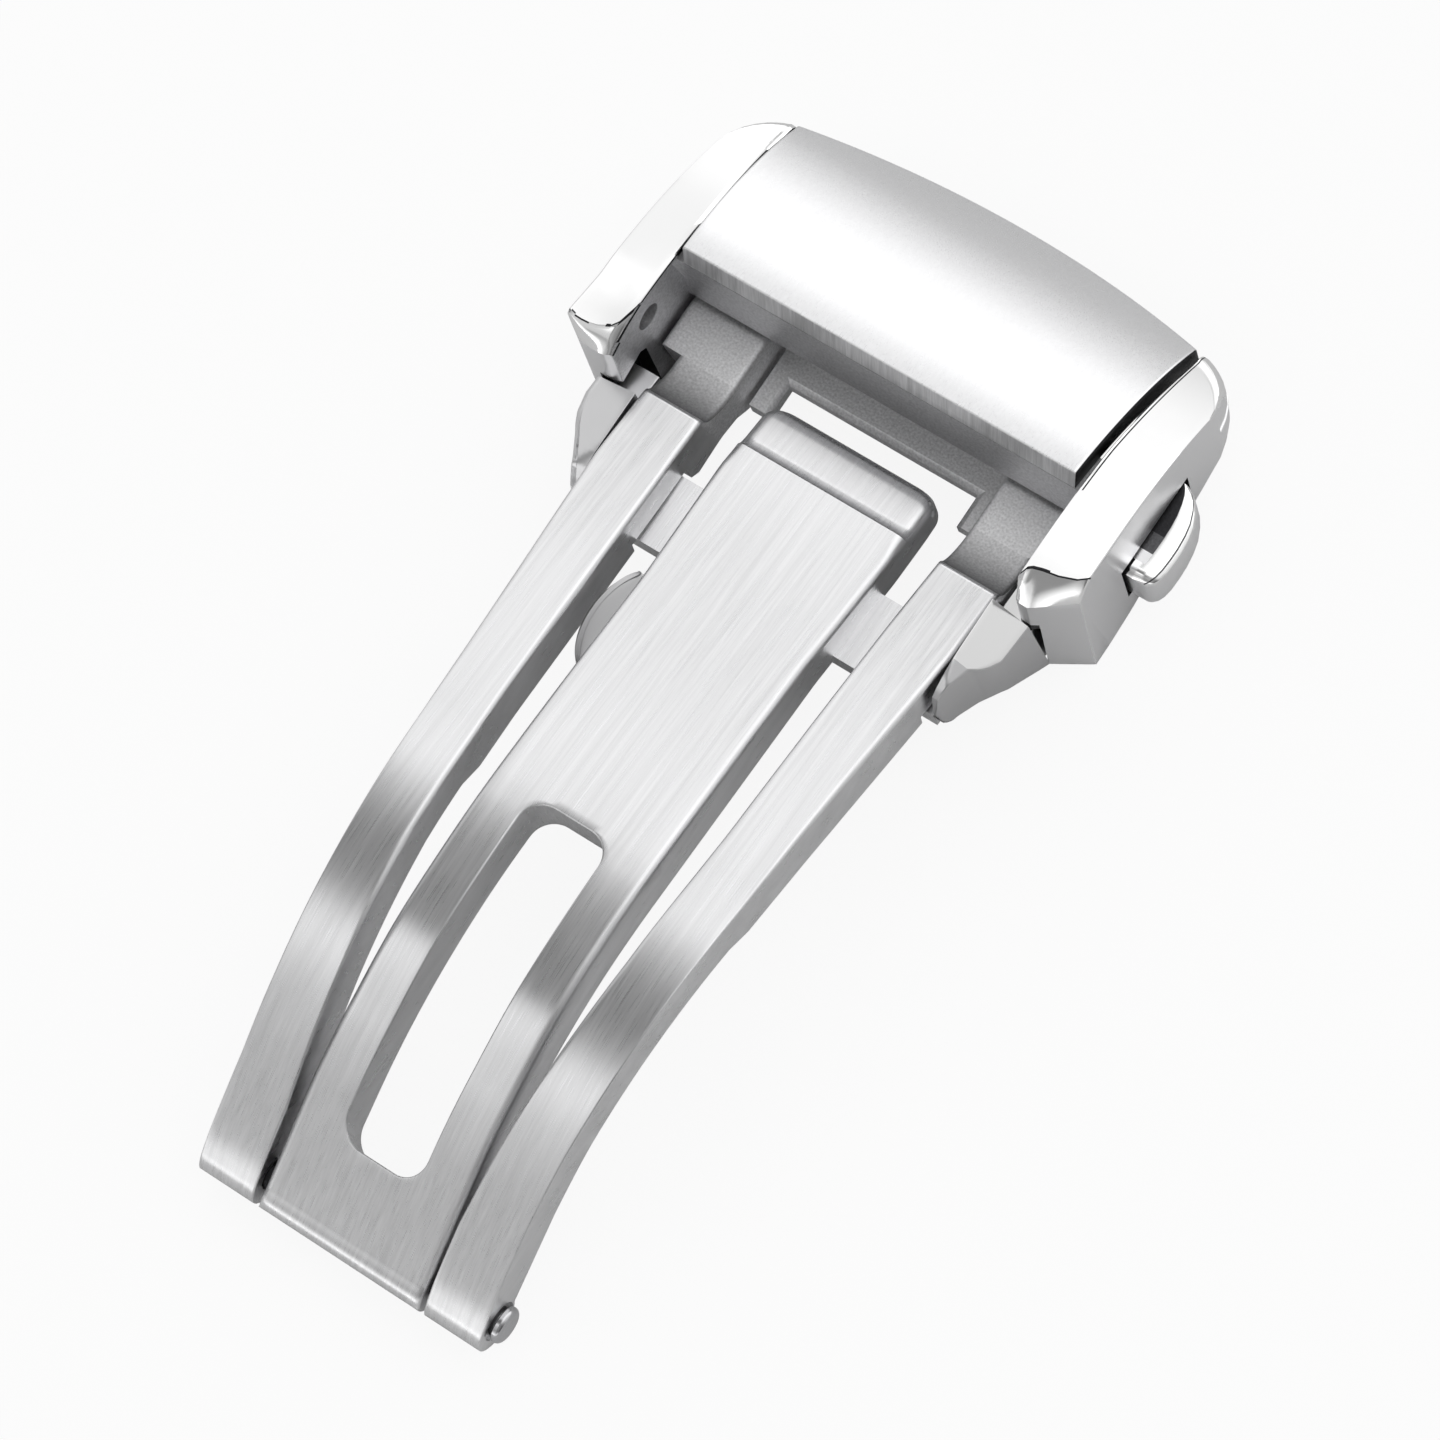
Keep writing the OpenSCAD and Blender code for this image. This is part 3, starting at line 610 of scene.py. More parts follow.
def blade_height(s):
    """Top and underside height of the centre blade as functions of Y: roll, root, bend and
    straight part. The top has swells, the shelf of the end pad and a rounded end."""
    bend_z, straight_y, root = bend_line(s, BLADE_BEND_Y)
    root = math.radians(root)

    def strip(y, r, slope_y):
        """Root, bend and straight part at radius r from the bend's centre."""
        root_y = BLADE_BEND_Y - r * math.sin(root)
        line = bend_z + r * math.cos(root) + math.tan(root) * (y - root_y)
        arc = bend_z + np.sqrt(np.maximum(r * r - (y - BLADE_BEND_Y) ** 2, 0))
        flat = bend_z + r * math.cos(s.slope) - math.tan(s.slope) * (y - slope_y)
        return line, np.where(y < root_y, line, np.where(y < slope_y, arc, flat))

    def roll(y):
        return np.sqrt(np.maximum(FOLD[1] ** 2 - (y - FOLD[0]) ** 2, 0))

    def top(y):
        z = strip(y, s.bend_r, straight_y)[1]
        z = np.where(y < FOLD[0] - FOLD[1] * math.sin(root), FOLD[1] + roll(y), z)
        for rise, start, length in BLADE_SWELLS:
            z = z + rise * smooth_step((y - start) / length)
        z = z - root_sag(y, BLADE_SAG)
        fall = np.clip((y - SHELF_Y) / 0.5, 0, 1)
        z = z - 0.26 * np.sqrt(fall * (2 - fall)) - 0.12 * np.clip(y - SHELF_Y - 0.3, 0, None)
        return z - 0.5 * quarter_fall((y - 11.8) / 0.601)

    def low(y):
        r = s.bend_r - s.thick
        line, z = strip(y, r, BLADE_BEND_Y + r * math.sin(s.slope))
        under = FOLD[1] - roll(y)
        z = np.where(y < FOLD[0] + 0.85 * FOLD[1],
                     np.where(y < FOLD[0], under, np.maximum(under, line)), z)
        return np.where(y > SHELF_Y + 0.05, np.clip(z, 2.8, 2.9), z)

    return top, low


def build_blade(s):
    """The centre blade: rows of constant y over blade_height(y), with columns that part round
    the slot x = w - r + sqrt(r^2 - dy^2), dy counted from the centre of its corners; the slot's
    walls join the two sheets."""
    top, low = blade_height(s)
    a0, a1 = SLOT_Y[0] - SLOT_EDGE, SLOT_Y[1] + SLOT_EDGE
    r, w = SLOT_R + SLOT_EDGE, SLOT_HALF + SLOT_EDGE
    round_y, round_r = BLADE_ROUND
    quarter = np.linspace(0, math.pi / 2, 13)
    roll_rows = ROLL_END + 1.7 * (1 - np.cos(np.linspace(0, math.pi / 2, 26)))
    rows = np.concatenate([
        roll_rows, np.linspace(ROLL_END + 1.7, a0, 10)[1:-1],
        a0 + r * (1 - np.cos(quarter)), np.linspace(a0 + r, a1 - r, 60)[1:-1],
        a1 - r + r * np.sin(quarter), np.linspace(a1, SHELF_Y, 50)[1:],
        SHELF_Y + 0.5 * (1 - np.cos(quarter[1:])), np.linspace(SHELF_Y + 0.6, round_y, 10),
        round_y + round_r * np.sin(quarter)[1:],
    ])
    width = np.interp(rows, *BLADE_HALF) - round_r * quarter_fall((rows - round_y) / round_r)
    dy = np.maximum(np.maximum(a0 + r - rows, rows - a1 + r), 0)
    slot = np.where(dy < r, w - r + np.sqrt(np.maximum(r * r - dy * dy, 0)), w - r)
    k = 9
    f = np.append(np.linspace(0, 0.8, k - 1), 1.0)
    beside = slot[:, None] + (width - slot)[:, None] * f
    between = slot[:, None] * np.linspace(-1, 1, k)[1:-1]
    x = np.hstack([-beside[:, ::-1], between, beside])
    y = np.repeat(rows[:, None], x.shape[1], 1)
    edge = (s.edge + 0.16 * smooth_step((rows - 9.0) / 1.2))[:, None]
    rings = rounded_slab(np.dstack([x, y, top(y)]), np.dstack([x, y, low(y)]), (edge, edge, 0.1))
    verts, faces = skin(rings)

    p, columns = rings.shape[1], x.shape[1]
    left, right = k - 1, 2 * k - 2
    first, last = int(np.argmin(abs(rows - a0))), int(np.argmin(abs(rows - a1)))
    under = columns + (p - 2 * columns) // 2 + columns - 1

    def in_slot(face):
        if len(face) != 4:
            return False
        i, j = divmod(face[0], p)
        return first <= i < last and (left <= j < right or under - right <= j < under - left)

    faces = [face for face in faces if not in_slot(face)]
    loop = [(i, right) for i in range(first, last)]
    loop += [(last, j) for j in range(right, left, -1)]
    loop += [(i, left) for i in range(last, first, -1)]
    loop += [(first, j) for j in range(left, right)]
    xy = np.array([(x[i, j], rows[i]) for i, j in loop])
    centre = np.column_stack([np.clip(xy[:, 0], r - w, w - r),
                              np.clip(xy[:, 1], a0 + r, a1 - r)])
    inward = unit(centre - xy)
    turn = np.linspace(0, math.pi / 2, 5)
    chains = []
    for height, angles, down in ((top, turn[1:], -1), (low, turn[:0:-1], 1)):
        for a in angles:
            at = xy + inward * SLOT_EDGE * math.sin(a)
            z = height(at[:, 1]) + down * SLOT_EDGE * (1 - math.cos(a))
            chains.append(np.column_stack([at, z]))
    base, count = len(verts), len(loop)
    verts = np.vstack([verts] + chains)
    levels = [[i * p + j for i, j in loop]]
    levels += [[base + c * count + m for m in range(count)] for c in range(len(chains))]
    levels.append([i * p + under - j for i, j in loop])
    for upper, lower in zip(levels[:-1], levels[1:]):
        for m in range(count):
            q = (m + 1) % count
            faces.append([upper[m], upper[q], lower[q], lower[m]])
    return piece("blade_leaf", verts, faces, "blade", "blade", ("centre_blade",))


def build_lug():
    """The D shaped lug on the blade's left edge: x from the blade to an arc, with a rolled rim
    that is at most 0.7 of the lug's width there."""
    root_x, centre_y = -3.6, 1.8
    y = np.linspace(-0.28, 3.88, 46)
    bow = 1 - ((y - centre_y) / 2.16) ** 2
    x_out = -3.75 - 1.03 * np.maximum(bow, 0.0) ** 0.62
    u = np.array([0, 0.3, 0.6, 0.85, 1.0])
    x = root_x + (x_out - root_x)[:, None] * u
    yy = np.repeat(y[:, None], len(u), 1)
    z = 5.8 - 0.02 * (yy - centre_y) - 0.1 * u ** 3
    rim = np.minimum(0.38, 0.7 * (root_x - x_out))[:, None]
    sheets = np.dstack([x, yy, z]), np.dstack([x, yy, np.full_like(z, 4.32)])
    verts, faces = skin(rounded_slab(*sheets, (0.03, rim, 0.1), (0.03, 0.03), steps=6))
    return piece("blade_lug", verts, faces, "tumbled", "blade", ("side_lug",))


def lathe_x(profile, y, z, count=64):
    """Rings of a turned piece: (x, r) pairs of the profile swept round a line along X."""
    a = np.linspace(0, 2 * math.pi, count, endpoint=False)
    return np.array([np.column_stack([np.full(count, x), y + r * np.cos(a), z + r * np.sin(a)])
                     for x, r in profile])


def build_pin():
    """The fold pin: a shaft of radius 0.6 with a round head over a neck, with painted shade: dark
    over the neck and where it passes the gaps between blade and arms."""
    shaft_r, gap_x, neck_x = 0.6, (3.6, 4.1), (6.58, 6.62)
    rim = [(6.74 + 0.24 * math.sin(a), 0.5 + 0.26 * math.cos(a))
           for a in np.linspace(0, math.pi / 2, 9)]
    profile = [(-6.6, 0.02), (-6.6, 0.52), (-6.52, shaft_r)]
    profile += [(x, shaft_r) for x in (-gap_x[1], -gap_x[0], gap_x[0], gap_x[1], neck_x[0])]
    profile += [(neck_x[1], 0.72), (6.66, 0.76)] + rim + [(6.985, 0.3), (6.99, 0.02)]

    def pick(c, n):
        # painted shade: the neck and the gaps take the dark recess steel
        in_gap = abs(abs(c[:, 0]) - sum(gap_x) / 2) < 0.2
        return ((c[:, 0] > 6.5) & (c[:, 0] < 6.6)) | in_gap

    verts, faces = skin(lathe_x(profile, *FOLD))
    return piece("pin_turned", verts, faces, ("pin", "recess"), "blade",
                 ("fold_pin",), pick=pick)


EAR_X = 8.16            # inner face of each ear
EAR_END = (9.74, 9.76)  # the ear's front and the tongue that runs on under the head
# Each ear's top edge and foot in plan (X over Y), and its top facet's peak and fall in degrees
EARS = {
    -1: {
        "top": ([5.3, 5.6, 6.5, 7.4, 7.75, 8.2, 9.0, *EAR_END],
                [8.25, 8.5, 8.95, 9.5, 9.75, 9.98, 10.15, 10.1, 9.6]),
        "foot": ([5.3, 5.6, 6.5, 7.4, 7.75, 8.2, 9.0, *EAR_END],
                 [8.3, 8.7, 9.2, 9.75, 10.0, 10.25, 10.45, 10.5, 9.7]),
        "peak": 5.3, "fall": 19, "edge": 0.3, "flank": "flank",
    },
    1: {
        "top": ([5.3, 5.36, 5.5, 6.2, 7.08, 7.3, 7.6, 8.07, *EAR_END],
                [8.25, 8.36, 8.42, 8.55, 8.78, 9.06, 9.28, 9.5, 9.6, 9.6]),
        "foot": ([5.3, 5.5, 5.75, 6.0, 6.84, 7.92, *EAR_END],
                 [8.3, 8.42, 8.48, 8.55, 8.87, 9.46, 10.04, 9.7]),
        "peak": 6.0, "fall": 38, "edge": 0.06, "flank": "tumbled",
    },
}


def build_ear(side):
    """One ear: rows along Y between the foot and a top facet that falls outwards from its peak
    at x = 8.15. Left and right differ, as hand finished ears do."""
    ear = EARS[side]
    peak = ear["peak"]
    q = np.linspace(0, math.pi / 2, 9)
    y = np.concatenate([5.3 + 0.5 * (1 - np.cos(q)), np.linspace(5.9, 7.0, 9), [7.04, 7.08],
                        np.linspace(7.2, EAR_END[0], 22), np.linspace(EAR_END[1], 11.0, 9)])
    high = np.interp(y, [5.3, 5.36, 5.5, 5.8, 6.3, 7.0, *EAR_END, 11.0],
                     [4.0, 4.5, peak - 0.6, peak - 0.38, peak - 0.18, peak - 0.03, peak + 0.15,
                      4.3, 4.1])
    foot = np.interp(y, [5.3, 5.36, 5.5, 5.75, 7.7, 9.3, 10, 11.0],
                     [3.5, 3.0, 2.65, 2.3, 1.9, 1.15, 0.87, 0.87])
    u = np.array([0, 0.12, 0.3, 0.5, 0.7, 0.85, 1.0])
    x_top, x_low = (EAR_X + (np.interp(y, *ear[key]) - EAR_X)[:, None] * u
                    for key in ("top", "foot"))
    z_top = np.minimum(high[:, None],
                       peak - math.tan(math.radians(ear["fall"])) * (x_top - 8.15))
    yy = np.repeat(y[:, None], len(u), 1)
    sheets = (np.dstack([side * x_top, yy, z_top]),
              np.dstack([side * x_low, yy, np.repeat(foot[:, None], len(u), 1)]))
    verts, faces = skin(rounded_slab(*sheets, (0.03, ear["edge"], 0.2), steps=5))
    name = "ear_" + side_name(side)
    return piece("side_" + name, verts, faces, (ear["flank"], "polished"), "blade",
                 (name,),
                 pick=lambda c, n: (n[:, 2] > 0.7) & (c[:, 1] > 7.06) & (side > 0))


def build_rail(side):
    """The rail behind an ear: a strip under the head, with the raised rear lug and its bore for
    the strap's bar."""
    inner_x, thick, lug_bore = 8.1, 0.7, (19.9, 2.0, 0.55)
    top = line_points([(9.9, 1.1), (18.3, 1.1), (18.6, 1.3), (18.6, 3.0), (18.8, 3.2),
                       (21.0, 3.2), (21.2, 3.0)], 0.1)
    low = resample([(9.9, 0.0), (21.2, 0.0)], len(top))
    x = side * (inner_x + thick * np.linspace(0, 1, 4))
    sheets = [np.dstack([np.repeat(x[None, :], len(c), 0), np.repeat(c[:, :1], 4, 1),
                         np.repeat(c[:, 1:], 4, 1)]) for c in (top, low)]
    verts, faces = skin(rounded_slab(*sheets, 0.06))
    bore = cutter_prism(circle_points(*lug_bore), side * (inner_x - 0.2), side * 9.0)
    return piece("rail_" + side_name(side), verts, faces, "polished", "blade",
                 cutters=[bore])


# ------------------------------------------------------------------- head

def build_cover(s):
    """The cover: x = x0 + u w(v), y = y0 + v (y1(x) - y0), z on an arc of the cover's radius
    about a line along X; the rear edge y1 bows out towards the middle, the front face leans."""
    centre_y, centre_z, x0 = 12.55, -6.07, -0.07
    front_top, front_low, rear_y = 14.88, 14.63, 22.15
    v = np.concatenate([np.linspace(0, 0.012, 3), np.linspace(0.03, 1, 46)])
    u = np.concatenate([[-1, -0.965], np.linspace(-0.93, 0.93, 31), [0.965, 1]])
    uu, vv = np.meshgrid(u, v)
    x = x0 + uu * (8.82 + 0.22 * vv)
    y1 = rear_y + s.bow * (1 - (x / 9.1) ** 2)
    sheets = []
    for front, radius in ((front_top, s.radius), (front_low, s.radius - s.thick)):
        y = front + vv * (y1 - front)
        sheets.append(np.dstack([x, y, centre_z + np.sqrt(radius ** 2 - (y - centre_y) ** 2)]))
    verts, faces = skin(rounded_slab(*sheets, (s.edge, s.edge, 0.05), (0.05, 0.12)))

    def pick(c, n):
        """Brushed, with a milled front edge and painted shade on the ends that face the cheeks."""
        return np.where(abs(n[:, 0]) > 0.75, 2, (n[:, 1] < -0.6) & (c[:, 1] < 14.9))

    return piece("cover_shell", verts, faces, ("cover", "lip", "recess"), "head",
                 ("cover_plate",), pick=pick)


# a cheek's outline from the side: Z over Y of its top and of its underside
CHEEK_TOP = ([9.9, 11.1, 12, 13, 14.8, 16, 17.3, 19.2, 21.2, 22.3],
             [7.42, 7.96, 7.93, 7.85, 7.62, 7.37, 7.03, 6.15, 5.05, 4.3])
CHEEK_LOW = ([9.5, 10.8, 11.0, 11.9, 13, 15, 18.5, 20.8, 21.6, 22.2],
             [1.15, 0.06, 0.02, 0.02, 0.13, 0.45, 0.95, 1.4, 1.9, 2.6])
CHEEK_REAR = ([9.05, 9.3, 9.8, 10.45, 10.9, 11.13, 11.25],
              [22.2, 22.2, 22.05, 21.7, 21.2, 20.7, 20.2])
# The front facet of each cheek, which differ as hand work does. u runs from the inner face (0)
# to the outer one (1): rows to loft, Y of the facet's rear line and Z of its front line over u,
# the front face in plan (Y over X), the facet's bulge and how far the outer face flares out at the
# front
CHEEK_FRONTS = {
    -1: {
        "rows": (0, 0.12, 0.15, 0.21, 0.28, 0.4, 0.55, 0.7, 0.84, 0.94, 1.0),
        "rear": ([0, 0.05, 0.09, 0.21, 0.46, 0.8, 1.0],
                 [12.3, 11.85, 11.3, 10.9, 10.62, 10.6, 10.75]),
        "height": ([0, 0.15, 0.6, 0.7, 1], [7.3, 7.2, 7.0, 7.05, 7.45]),
        "plan": ([9.05, 9.2, 9.5, 10.4, 10.6, 11.25], [10.08, 9.97, 9.93, 10.0, 10.1, 10.6]),
        "bulge": 0.18, "flare": 0.2,
    },
    1: {
        "rows": (0, 0.05, 0.075, 0.12, 0.18, 0.28, 0.4, 0.55, 0.7, 0.84, 0.94, 1.0),
        "rear": ([0, 0.05, 0.12, 0.29, 0.56, 0.86, 1.0],
                 [10.5, 10.9, 11.04, 11.17, 11.3, 11.58, 11.88]),
        "height": ([0, 1], [6.8, 6.75]),
        "plan": ([9.05, 9.12, 9.25, 9.7, 11.25], [10.12, 9.97, 9.89, 9.87, 11.02]),
        "bulge": 0.06, "flare": 0.0,
    },
}
# recesses cut into the cheeks, (Y, Z): the ledge for ear and rail, and the pusher's pocket
CHEEK_LEDGE = [(9, -1), (11.6, -1), (11.6, 4.7), (11.3, 4.95), (9, 4.45)]
PUSHER_POCKET = [(13.375, 1.55), (17.925, 1.55), (17.925, 3.75), (13.375, 4.25)]


def cheek_faces(y):
    """X of a cheek's inner and outer face at y; both draw in towards the rear."""
    x_in = WALL_X + 0.18 * np.clip((y - 16.6) / 5, 0, 1)
    return x_in, WALL_X + CHEEK_T - 0.12 * np.clip((y - 13.4) / 6.7, 0, 1)


def cheek_outline(s, front_shape, u):
    """Top and underside points (Y, Z) of a cheek at u: up the leaning front face, over the hand
    polished facet and the crowned top, round the rear shoulder, and back along the bottom."""
    x = WALL_X + u * CHEEK_T
    crown_line = np.polyfit(CHEEK_TOP[0][1:], CHEEK_TOP[1][1:], 4)
    rear_r = 0.5

    def z_top(y):
        return np.polyval(crown_line, y) - math.tan(s.crown) * (x - WALL_X)

    front_y = np.interp(x, *front_shape["plan"])
    foot_y = front_y - np.interp(x, [10.0, 11.25], [0.3, 0.17])
    rear_y = np.interp(x, *CHEEK_REAR)
    z_front = np.interp(u, *front_shape["height"])
    facet_y = np.interp(u, *front_shape["rear"])
    start = front_y + 0.04
    face = resample([(foot_y, np.interp(foot_y, *CHEEK_LOW)), (start, z_front)], 14)
    q = np.linspace(0, 1, 9)[1:]
    swell = q + front_shape["bulge"] * np.sin(math.pi * q)
    facet = np.column_stack([start + (facet_y - start) * q,
                             z_front + (z_top(facet_y) - 0.05 - z_front) * swell])
    ys = np.concatenate([[facet_y + 0.06, facet_y + 0.12],
                         np.linspace(facet_y + 0.2, rear_y - rear_r, 44)])
    z_end = z_top(rear_y - rear_r)
    middle = (z_end + np.interp(rear_y, *CHEEK_LOW)) / 2
    a = np.radians(np.linspace(0, 90, 9)[1:])
    shoulder = np.column_stack([rear_y - rear_r + rear_r * np.sin(a),
                                middle + (z_end - middle) * np.cos(a) ** 0.8])
    top = np.vstack([face, facet, np.column_stack([ys, z_top(ys)]), shoulder])

    turn_y, turn_r = rear_y - 0.4, 0.4
    yl = np.concatenate([np.linspace(foot_y, 12, 16),
                         np.linspace(12, turn_y, len(top) - 16 - len(a) + 1)[1:]])
    low = np.column_stack([yl, np.interp(yl, *CHEEK_LOW)])
    turn = np.column_stack([turn_y + turn_r * np.sin(a),
                            middle + (low[-1, 1] - middle) * np.cos(a) ** 0.8])
    return top, np.vstack([low, turn])


def build_cheek(s, side):
    """One cheek: a loft of cheek_outline over u from its inner to its outer face, with the hole
    for the strap's bar, the ledge and the pusher's pocket cut into it."""
    shape = CHEEK_FRONTS[side]
    outlines = [cheek_outline(s, shape, u) for u in shape["rows"]]

    def sheet(chains):
        grid = []
        for u, chain in zip(shape["rows"], chains):
            x_in, x_out = cheek_faces(chain[:, 0])
            x_out = x_out + shape["flare"] * np.clip((12.5 - chain[:, 0]) / 2, 0, 1)
            grid.append(np.column_stack([side * (x_in + (x_out - x_in) * u), chain]))
        return np.stack(grid, axis=1)

    tops, lows = zip(*outlines)
    inner_edge = s.cheek_edge if side > 0 else 0.25
    verts, faces = skin(rounded_slab(
        sheet(tops), sheet(lows), (inner_edge, s.cheek_edge * 0.8, 0.04), steps=3))
    cut = [
        cutter_prism(circle_points(*BAR_HOLE, BAR_HOLE_R), side * 8.5, side * 10.25),
        cutter_prism(CHEEK_LEDGE, side * 8.5, side * 9.94),
        cutter_prism(PUSHER_POCKET, side * 10.05, side * 12),
    ]

    def pick(c, n):
        """Polished; painted shade, dark in recesses and the inner gap, with painted dark lines
        along the facet's line and the inner bevel; ground inside; fine flanks.
        """
        x, y, z = abs(c[:, 0]), c[:, 1], c[:, 2]
        inward, outward = -side * n[:, 0], side * n[:, 0]
        hole = ((x > 9.06) & (x < 10.3)
                & (abs(y - BAR_HOLE[0]) < 0.7) & (abs(z - BAR_HOLE[1]) < 0.7))
        notch = (x > 9.07) & (x < 9.96) & (y < 11.62) & (z < 4.97)
        pocket = (x > 10.02) & (x < 11.15) & (abs(y - 15.65) < 2.28) & (abs(z - 2.9) < 1.5)
        gap = (inward > 0.8) & (y > 14.75) & (z > 4.0)
        x_in, x_out = cheek_faces(y)
        u = (x - x_in) / (x_out - x_in)
        past = y - np.interp(u, *shape["rear"])
        line = (past > 0.005) & (past < np.where(u < 0.35, 0.11, 0.055)) & (z > 7) & (u > 0.02)
        if side > 0:
            line |= (u > 0.052) & (u < 0.073) & (n[:, 2] > 0.3) & (y > 14.5)
        else:
            line |= (inward > 0.9) & (n[:, 2] > 0.15)
        # painted shade: notch, inner gap, facet lines and pocket walls take the dark recess steel
        painted_dark = notch | gap | line | (pocket & (abs(n[:, 0]) < 0.9))
        ground = hole | ((inward > 0.8) & (y <= 14.75))
        flank = (outward > 0.9) | ((n[:, 1] < -0.7) & (abs(n[:, 2]) < 0.25))
        return np.select([painted_dark, ground, flank], [1, 2, 3], 0)

    name = "cheek_" + side_name(side)
    return piece("head_" + name, verts, faces, ("polished", "recess", "wall", "flank"), "head",
                 (name,), cutters=cut, pick=pick, careful=side < 0)


# a pusher in plan: Y, and X of its outer outline
PUSHER_PLAN = ([13.55, 13.6, 13.75, 14.0, 14.4, 14.9, 15.4, 16.0, 16.5, 17.0, 17.35, 17.6, 17.75],
               [12.05, 12.17, 12.34, 12.46, 12.53, 12.55, 12.54, 12.47, 12.35, 12.12, 11.88,
                11.6, 11.35])


def build_pusher(side):
    """One pusher: a D in plan, x from the recess to the outline x1(y), with a sloping top that
    rolls over into the rim: z = z0 - k (y - y0) - 0.3 u^4, lower at its near end."""
    root_x, low_z = 10.9, 1.7
    y = np.concatenate([[13.55], np.linspace(13.6, 14.3, 9), np.linspace(14.4, 17.3, 30),
                        np.linspace(17.36, 17.72, 7), [17.75]])
    x1 = np.interp(y, *PUSHER_PLAN)
    u = np.array([0, 0.12, 0.22, 0.35, 0.5, 0.65, 0.8, 0.86, 0.895, 1.0])
    x = root_x + (x1 - root_x)[:, None] * u
    yy = np.repeat(y[:, None], len(u), 1)
    z = 4.0 - 0.13 * (yy - 13.5) - 0.3 * u ** 4 - 0.25 * np.clip((13.95 - yy) / 0.4, 0, 1) ** 2
    sheets = np.dstack([side * x, yy, z]), np.dstack([side * x, yy, np.full_like(x, low_z)])
    verts, faces = skin(rounded_slab(*sheets, (0.02, 0.1, 0.08)))

    def pick(c, n):
        """Polished; painted shade, darker in steps towards the recess; a painted dark line inside
        the rim; fine sides.
        """
        at = c[:, 1]
        run = (abs(c[:, 0]) - root_x) / (np.interp(at, y, x1) - root_x)
        root = (n[:, 2] > 0.7) & (run < 0.5)
        line = (n[:, 2] > 0.5) & (run > 0.862) & (run < 0.893)
        # painted shade: darkest at the root's rear, then mid grey, then fine ground towards the
        # front
        return np.select(
            [root & (at > 15.5), root & (at > 14.7), root & (at > 14.2), line,
             abs(n[:, 2]) < 0.4], [3, 1, 2, 1, 2], 0)

    name = "pusher_" + side_name(side)
    return piece("button_" + name, verts, faces, ("polished", "mid_shade", "flank", "recess"),
                 "pusher_" + side_name(side)[0], (name,), pick=pick)


# ------------------------------------------------------------------- settings

def size_mm(name, default, description):
    """A setting for a size in mm."""
    return bpy.props.FloatProperty(
        name=name, description=description + ", in mm", default=default)


def slant(name, degrees, description):
    """A setting for an angle; Blender keeps it in radians and shows degrees."""
    return bpy.props.FloatProperty(
        name=name, description=description, default=math.radians(degrees), subtype="ANGLE",
        unit="ROTATION")


def finish(name, code, description):
    """A setting for the colour of a finish."""
    return bpy.props.FloatVectorProperty(
        name=name, description=description, default=linear(code), size=4, min=0.0, max=1.0,
        subtype="COLOR")


class ClaspForkSettings(bpy.types.PropertyGroup):
    """Sizes of the two arms of the fork."""
    slope: slant("Slope", 8.3, "Fall of the arms towards the head")
    bend_r: size_mm("Bend radius", 18.0, "Radius of the arm tops over the wrist")
    top_z: size_mm("Top height", 7.57, "Height where curve and straight part meet")
    thick_fold: size_mm("Thickness at fold", 2.0, "Arm thickness near the fold roll")
    thick_mid: size_mm("Thickness in middle", 2.4, "Arm thickness in the middle")
    thick_bar: size_mm("Thickness over bar", 1.8, "Arm thickness over the cross bar")
    edge: size_mm("Edge radius", 0.24, "Radius of the inner top edges")


class ClaspBladeSettings(bpy.types.PropertyGroup):
    """Sizes of the centre blade."""
    slope: slant("Slope", 7.0, "Fall of the blade towards the head")
    bend_r: size_mm("Bend radius", 20.16, "Radius of the blade top over the wrist")
    top_z: size_mm("Top height", 7.13, "Height where curve and straight part meet")
    thick: size_mm("Thickness", 2.2, "Thickness of the blade")
    edge: size_mm("Edge radius", 0.32, "Radius of the long edges")


class ClaspHeadSettings(bpy.types.PropertyGroup):
    """Sizes of the cover and the cheeks."""
    radius: size_mm("Cover radius", 14.35, "Radius of the curved cover")
    thick: size_mm("Cover thickness", 1.1, "Thickness of the cover")
    bow: size_mm("Rear bow", 1.1, "How far the cover's rear edge bows out")
    edge: size_mm("Cover edge", 0.12, "Radius of the cover's edges")
    crown: slant("Cheek crown", 10.0, "Outward fall of the cheek tops")
    cheek_edge: size_mm("Cheek edge", 0.1, "Radius of the cheek edges")


class ClaspFinishSettings(bpy.types.PropertyGroup):
    """Colours of the steel finishes."""
    brushed: finish("Brushed", "#ECECED", "Brushed steel of the blade and the arms")
    cover: finish("Cover", "#EEEEEF", "Finely brushed steel of the cover")
    blasted: finish("Blasted", "#F4F4F5", "Blasted steel of the hinge blocks and the bridge")
    ground: finish("Ground", "#D2D2D4", "Ground steel of the head's walls")
    polished: finish("Polished", "#F2F2F2", "Polished steel of cheeks, pushers and rails")
    turned: finish("Turned", "#C4C4C6", "Turned steel of pins and screws")
    spring: finish("Spring", "#A0A2A6", "Rolled strip of the springs")


class ClaspStageSettings(bpy.types.PropertyGroup):
    """Studio light and floor."""
    floor_size: bpy.props.FloatProperty(
        name="Floor size", description="Side of the floor", default=1.2, subtype="DISTANCE",
        unit="LENGTH")
    lamp_power: bpy.props.FloatProperty(
        name="Lamp power", description="Power of the key lamp, in W", default=0.05)
    world_level: bpy.props.FloatProperty(
        name="World level", description="Strength of the surrounding light", default=1.0)


# ------------------------------------------------------------------ operators

class CLASP_OT_materials(bpy.types.Operator):
    """Make the materials and put them on the CAD nodes"""
    bl_idname = "clasp.materials"
    bl_label = "Materials"

    def execute(self, context):
        make_materials(context.scene.clasp_finish)
        dress_frame()
        return {"FINISHED"}


class CLASP_OT_fork(bpy.types.Operator):
    """Build the two arms of the fork and the bridge between their hinge blocks"""
    bl_idname = "clasp.fork"
    bl_label = "Fork"

    def execute(self, context):
        for side in (-1, 1):
            build_arm(context.scene.clasp_fork, side)
        build_bridge()
        return {"FINISHED"}


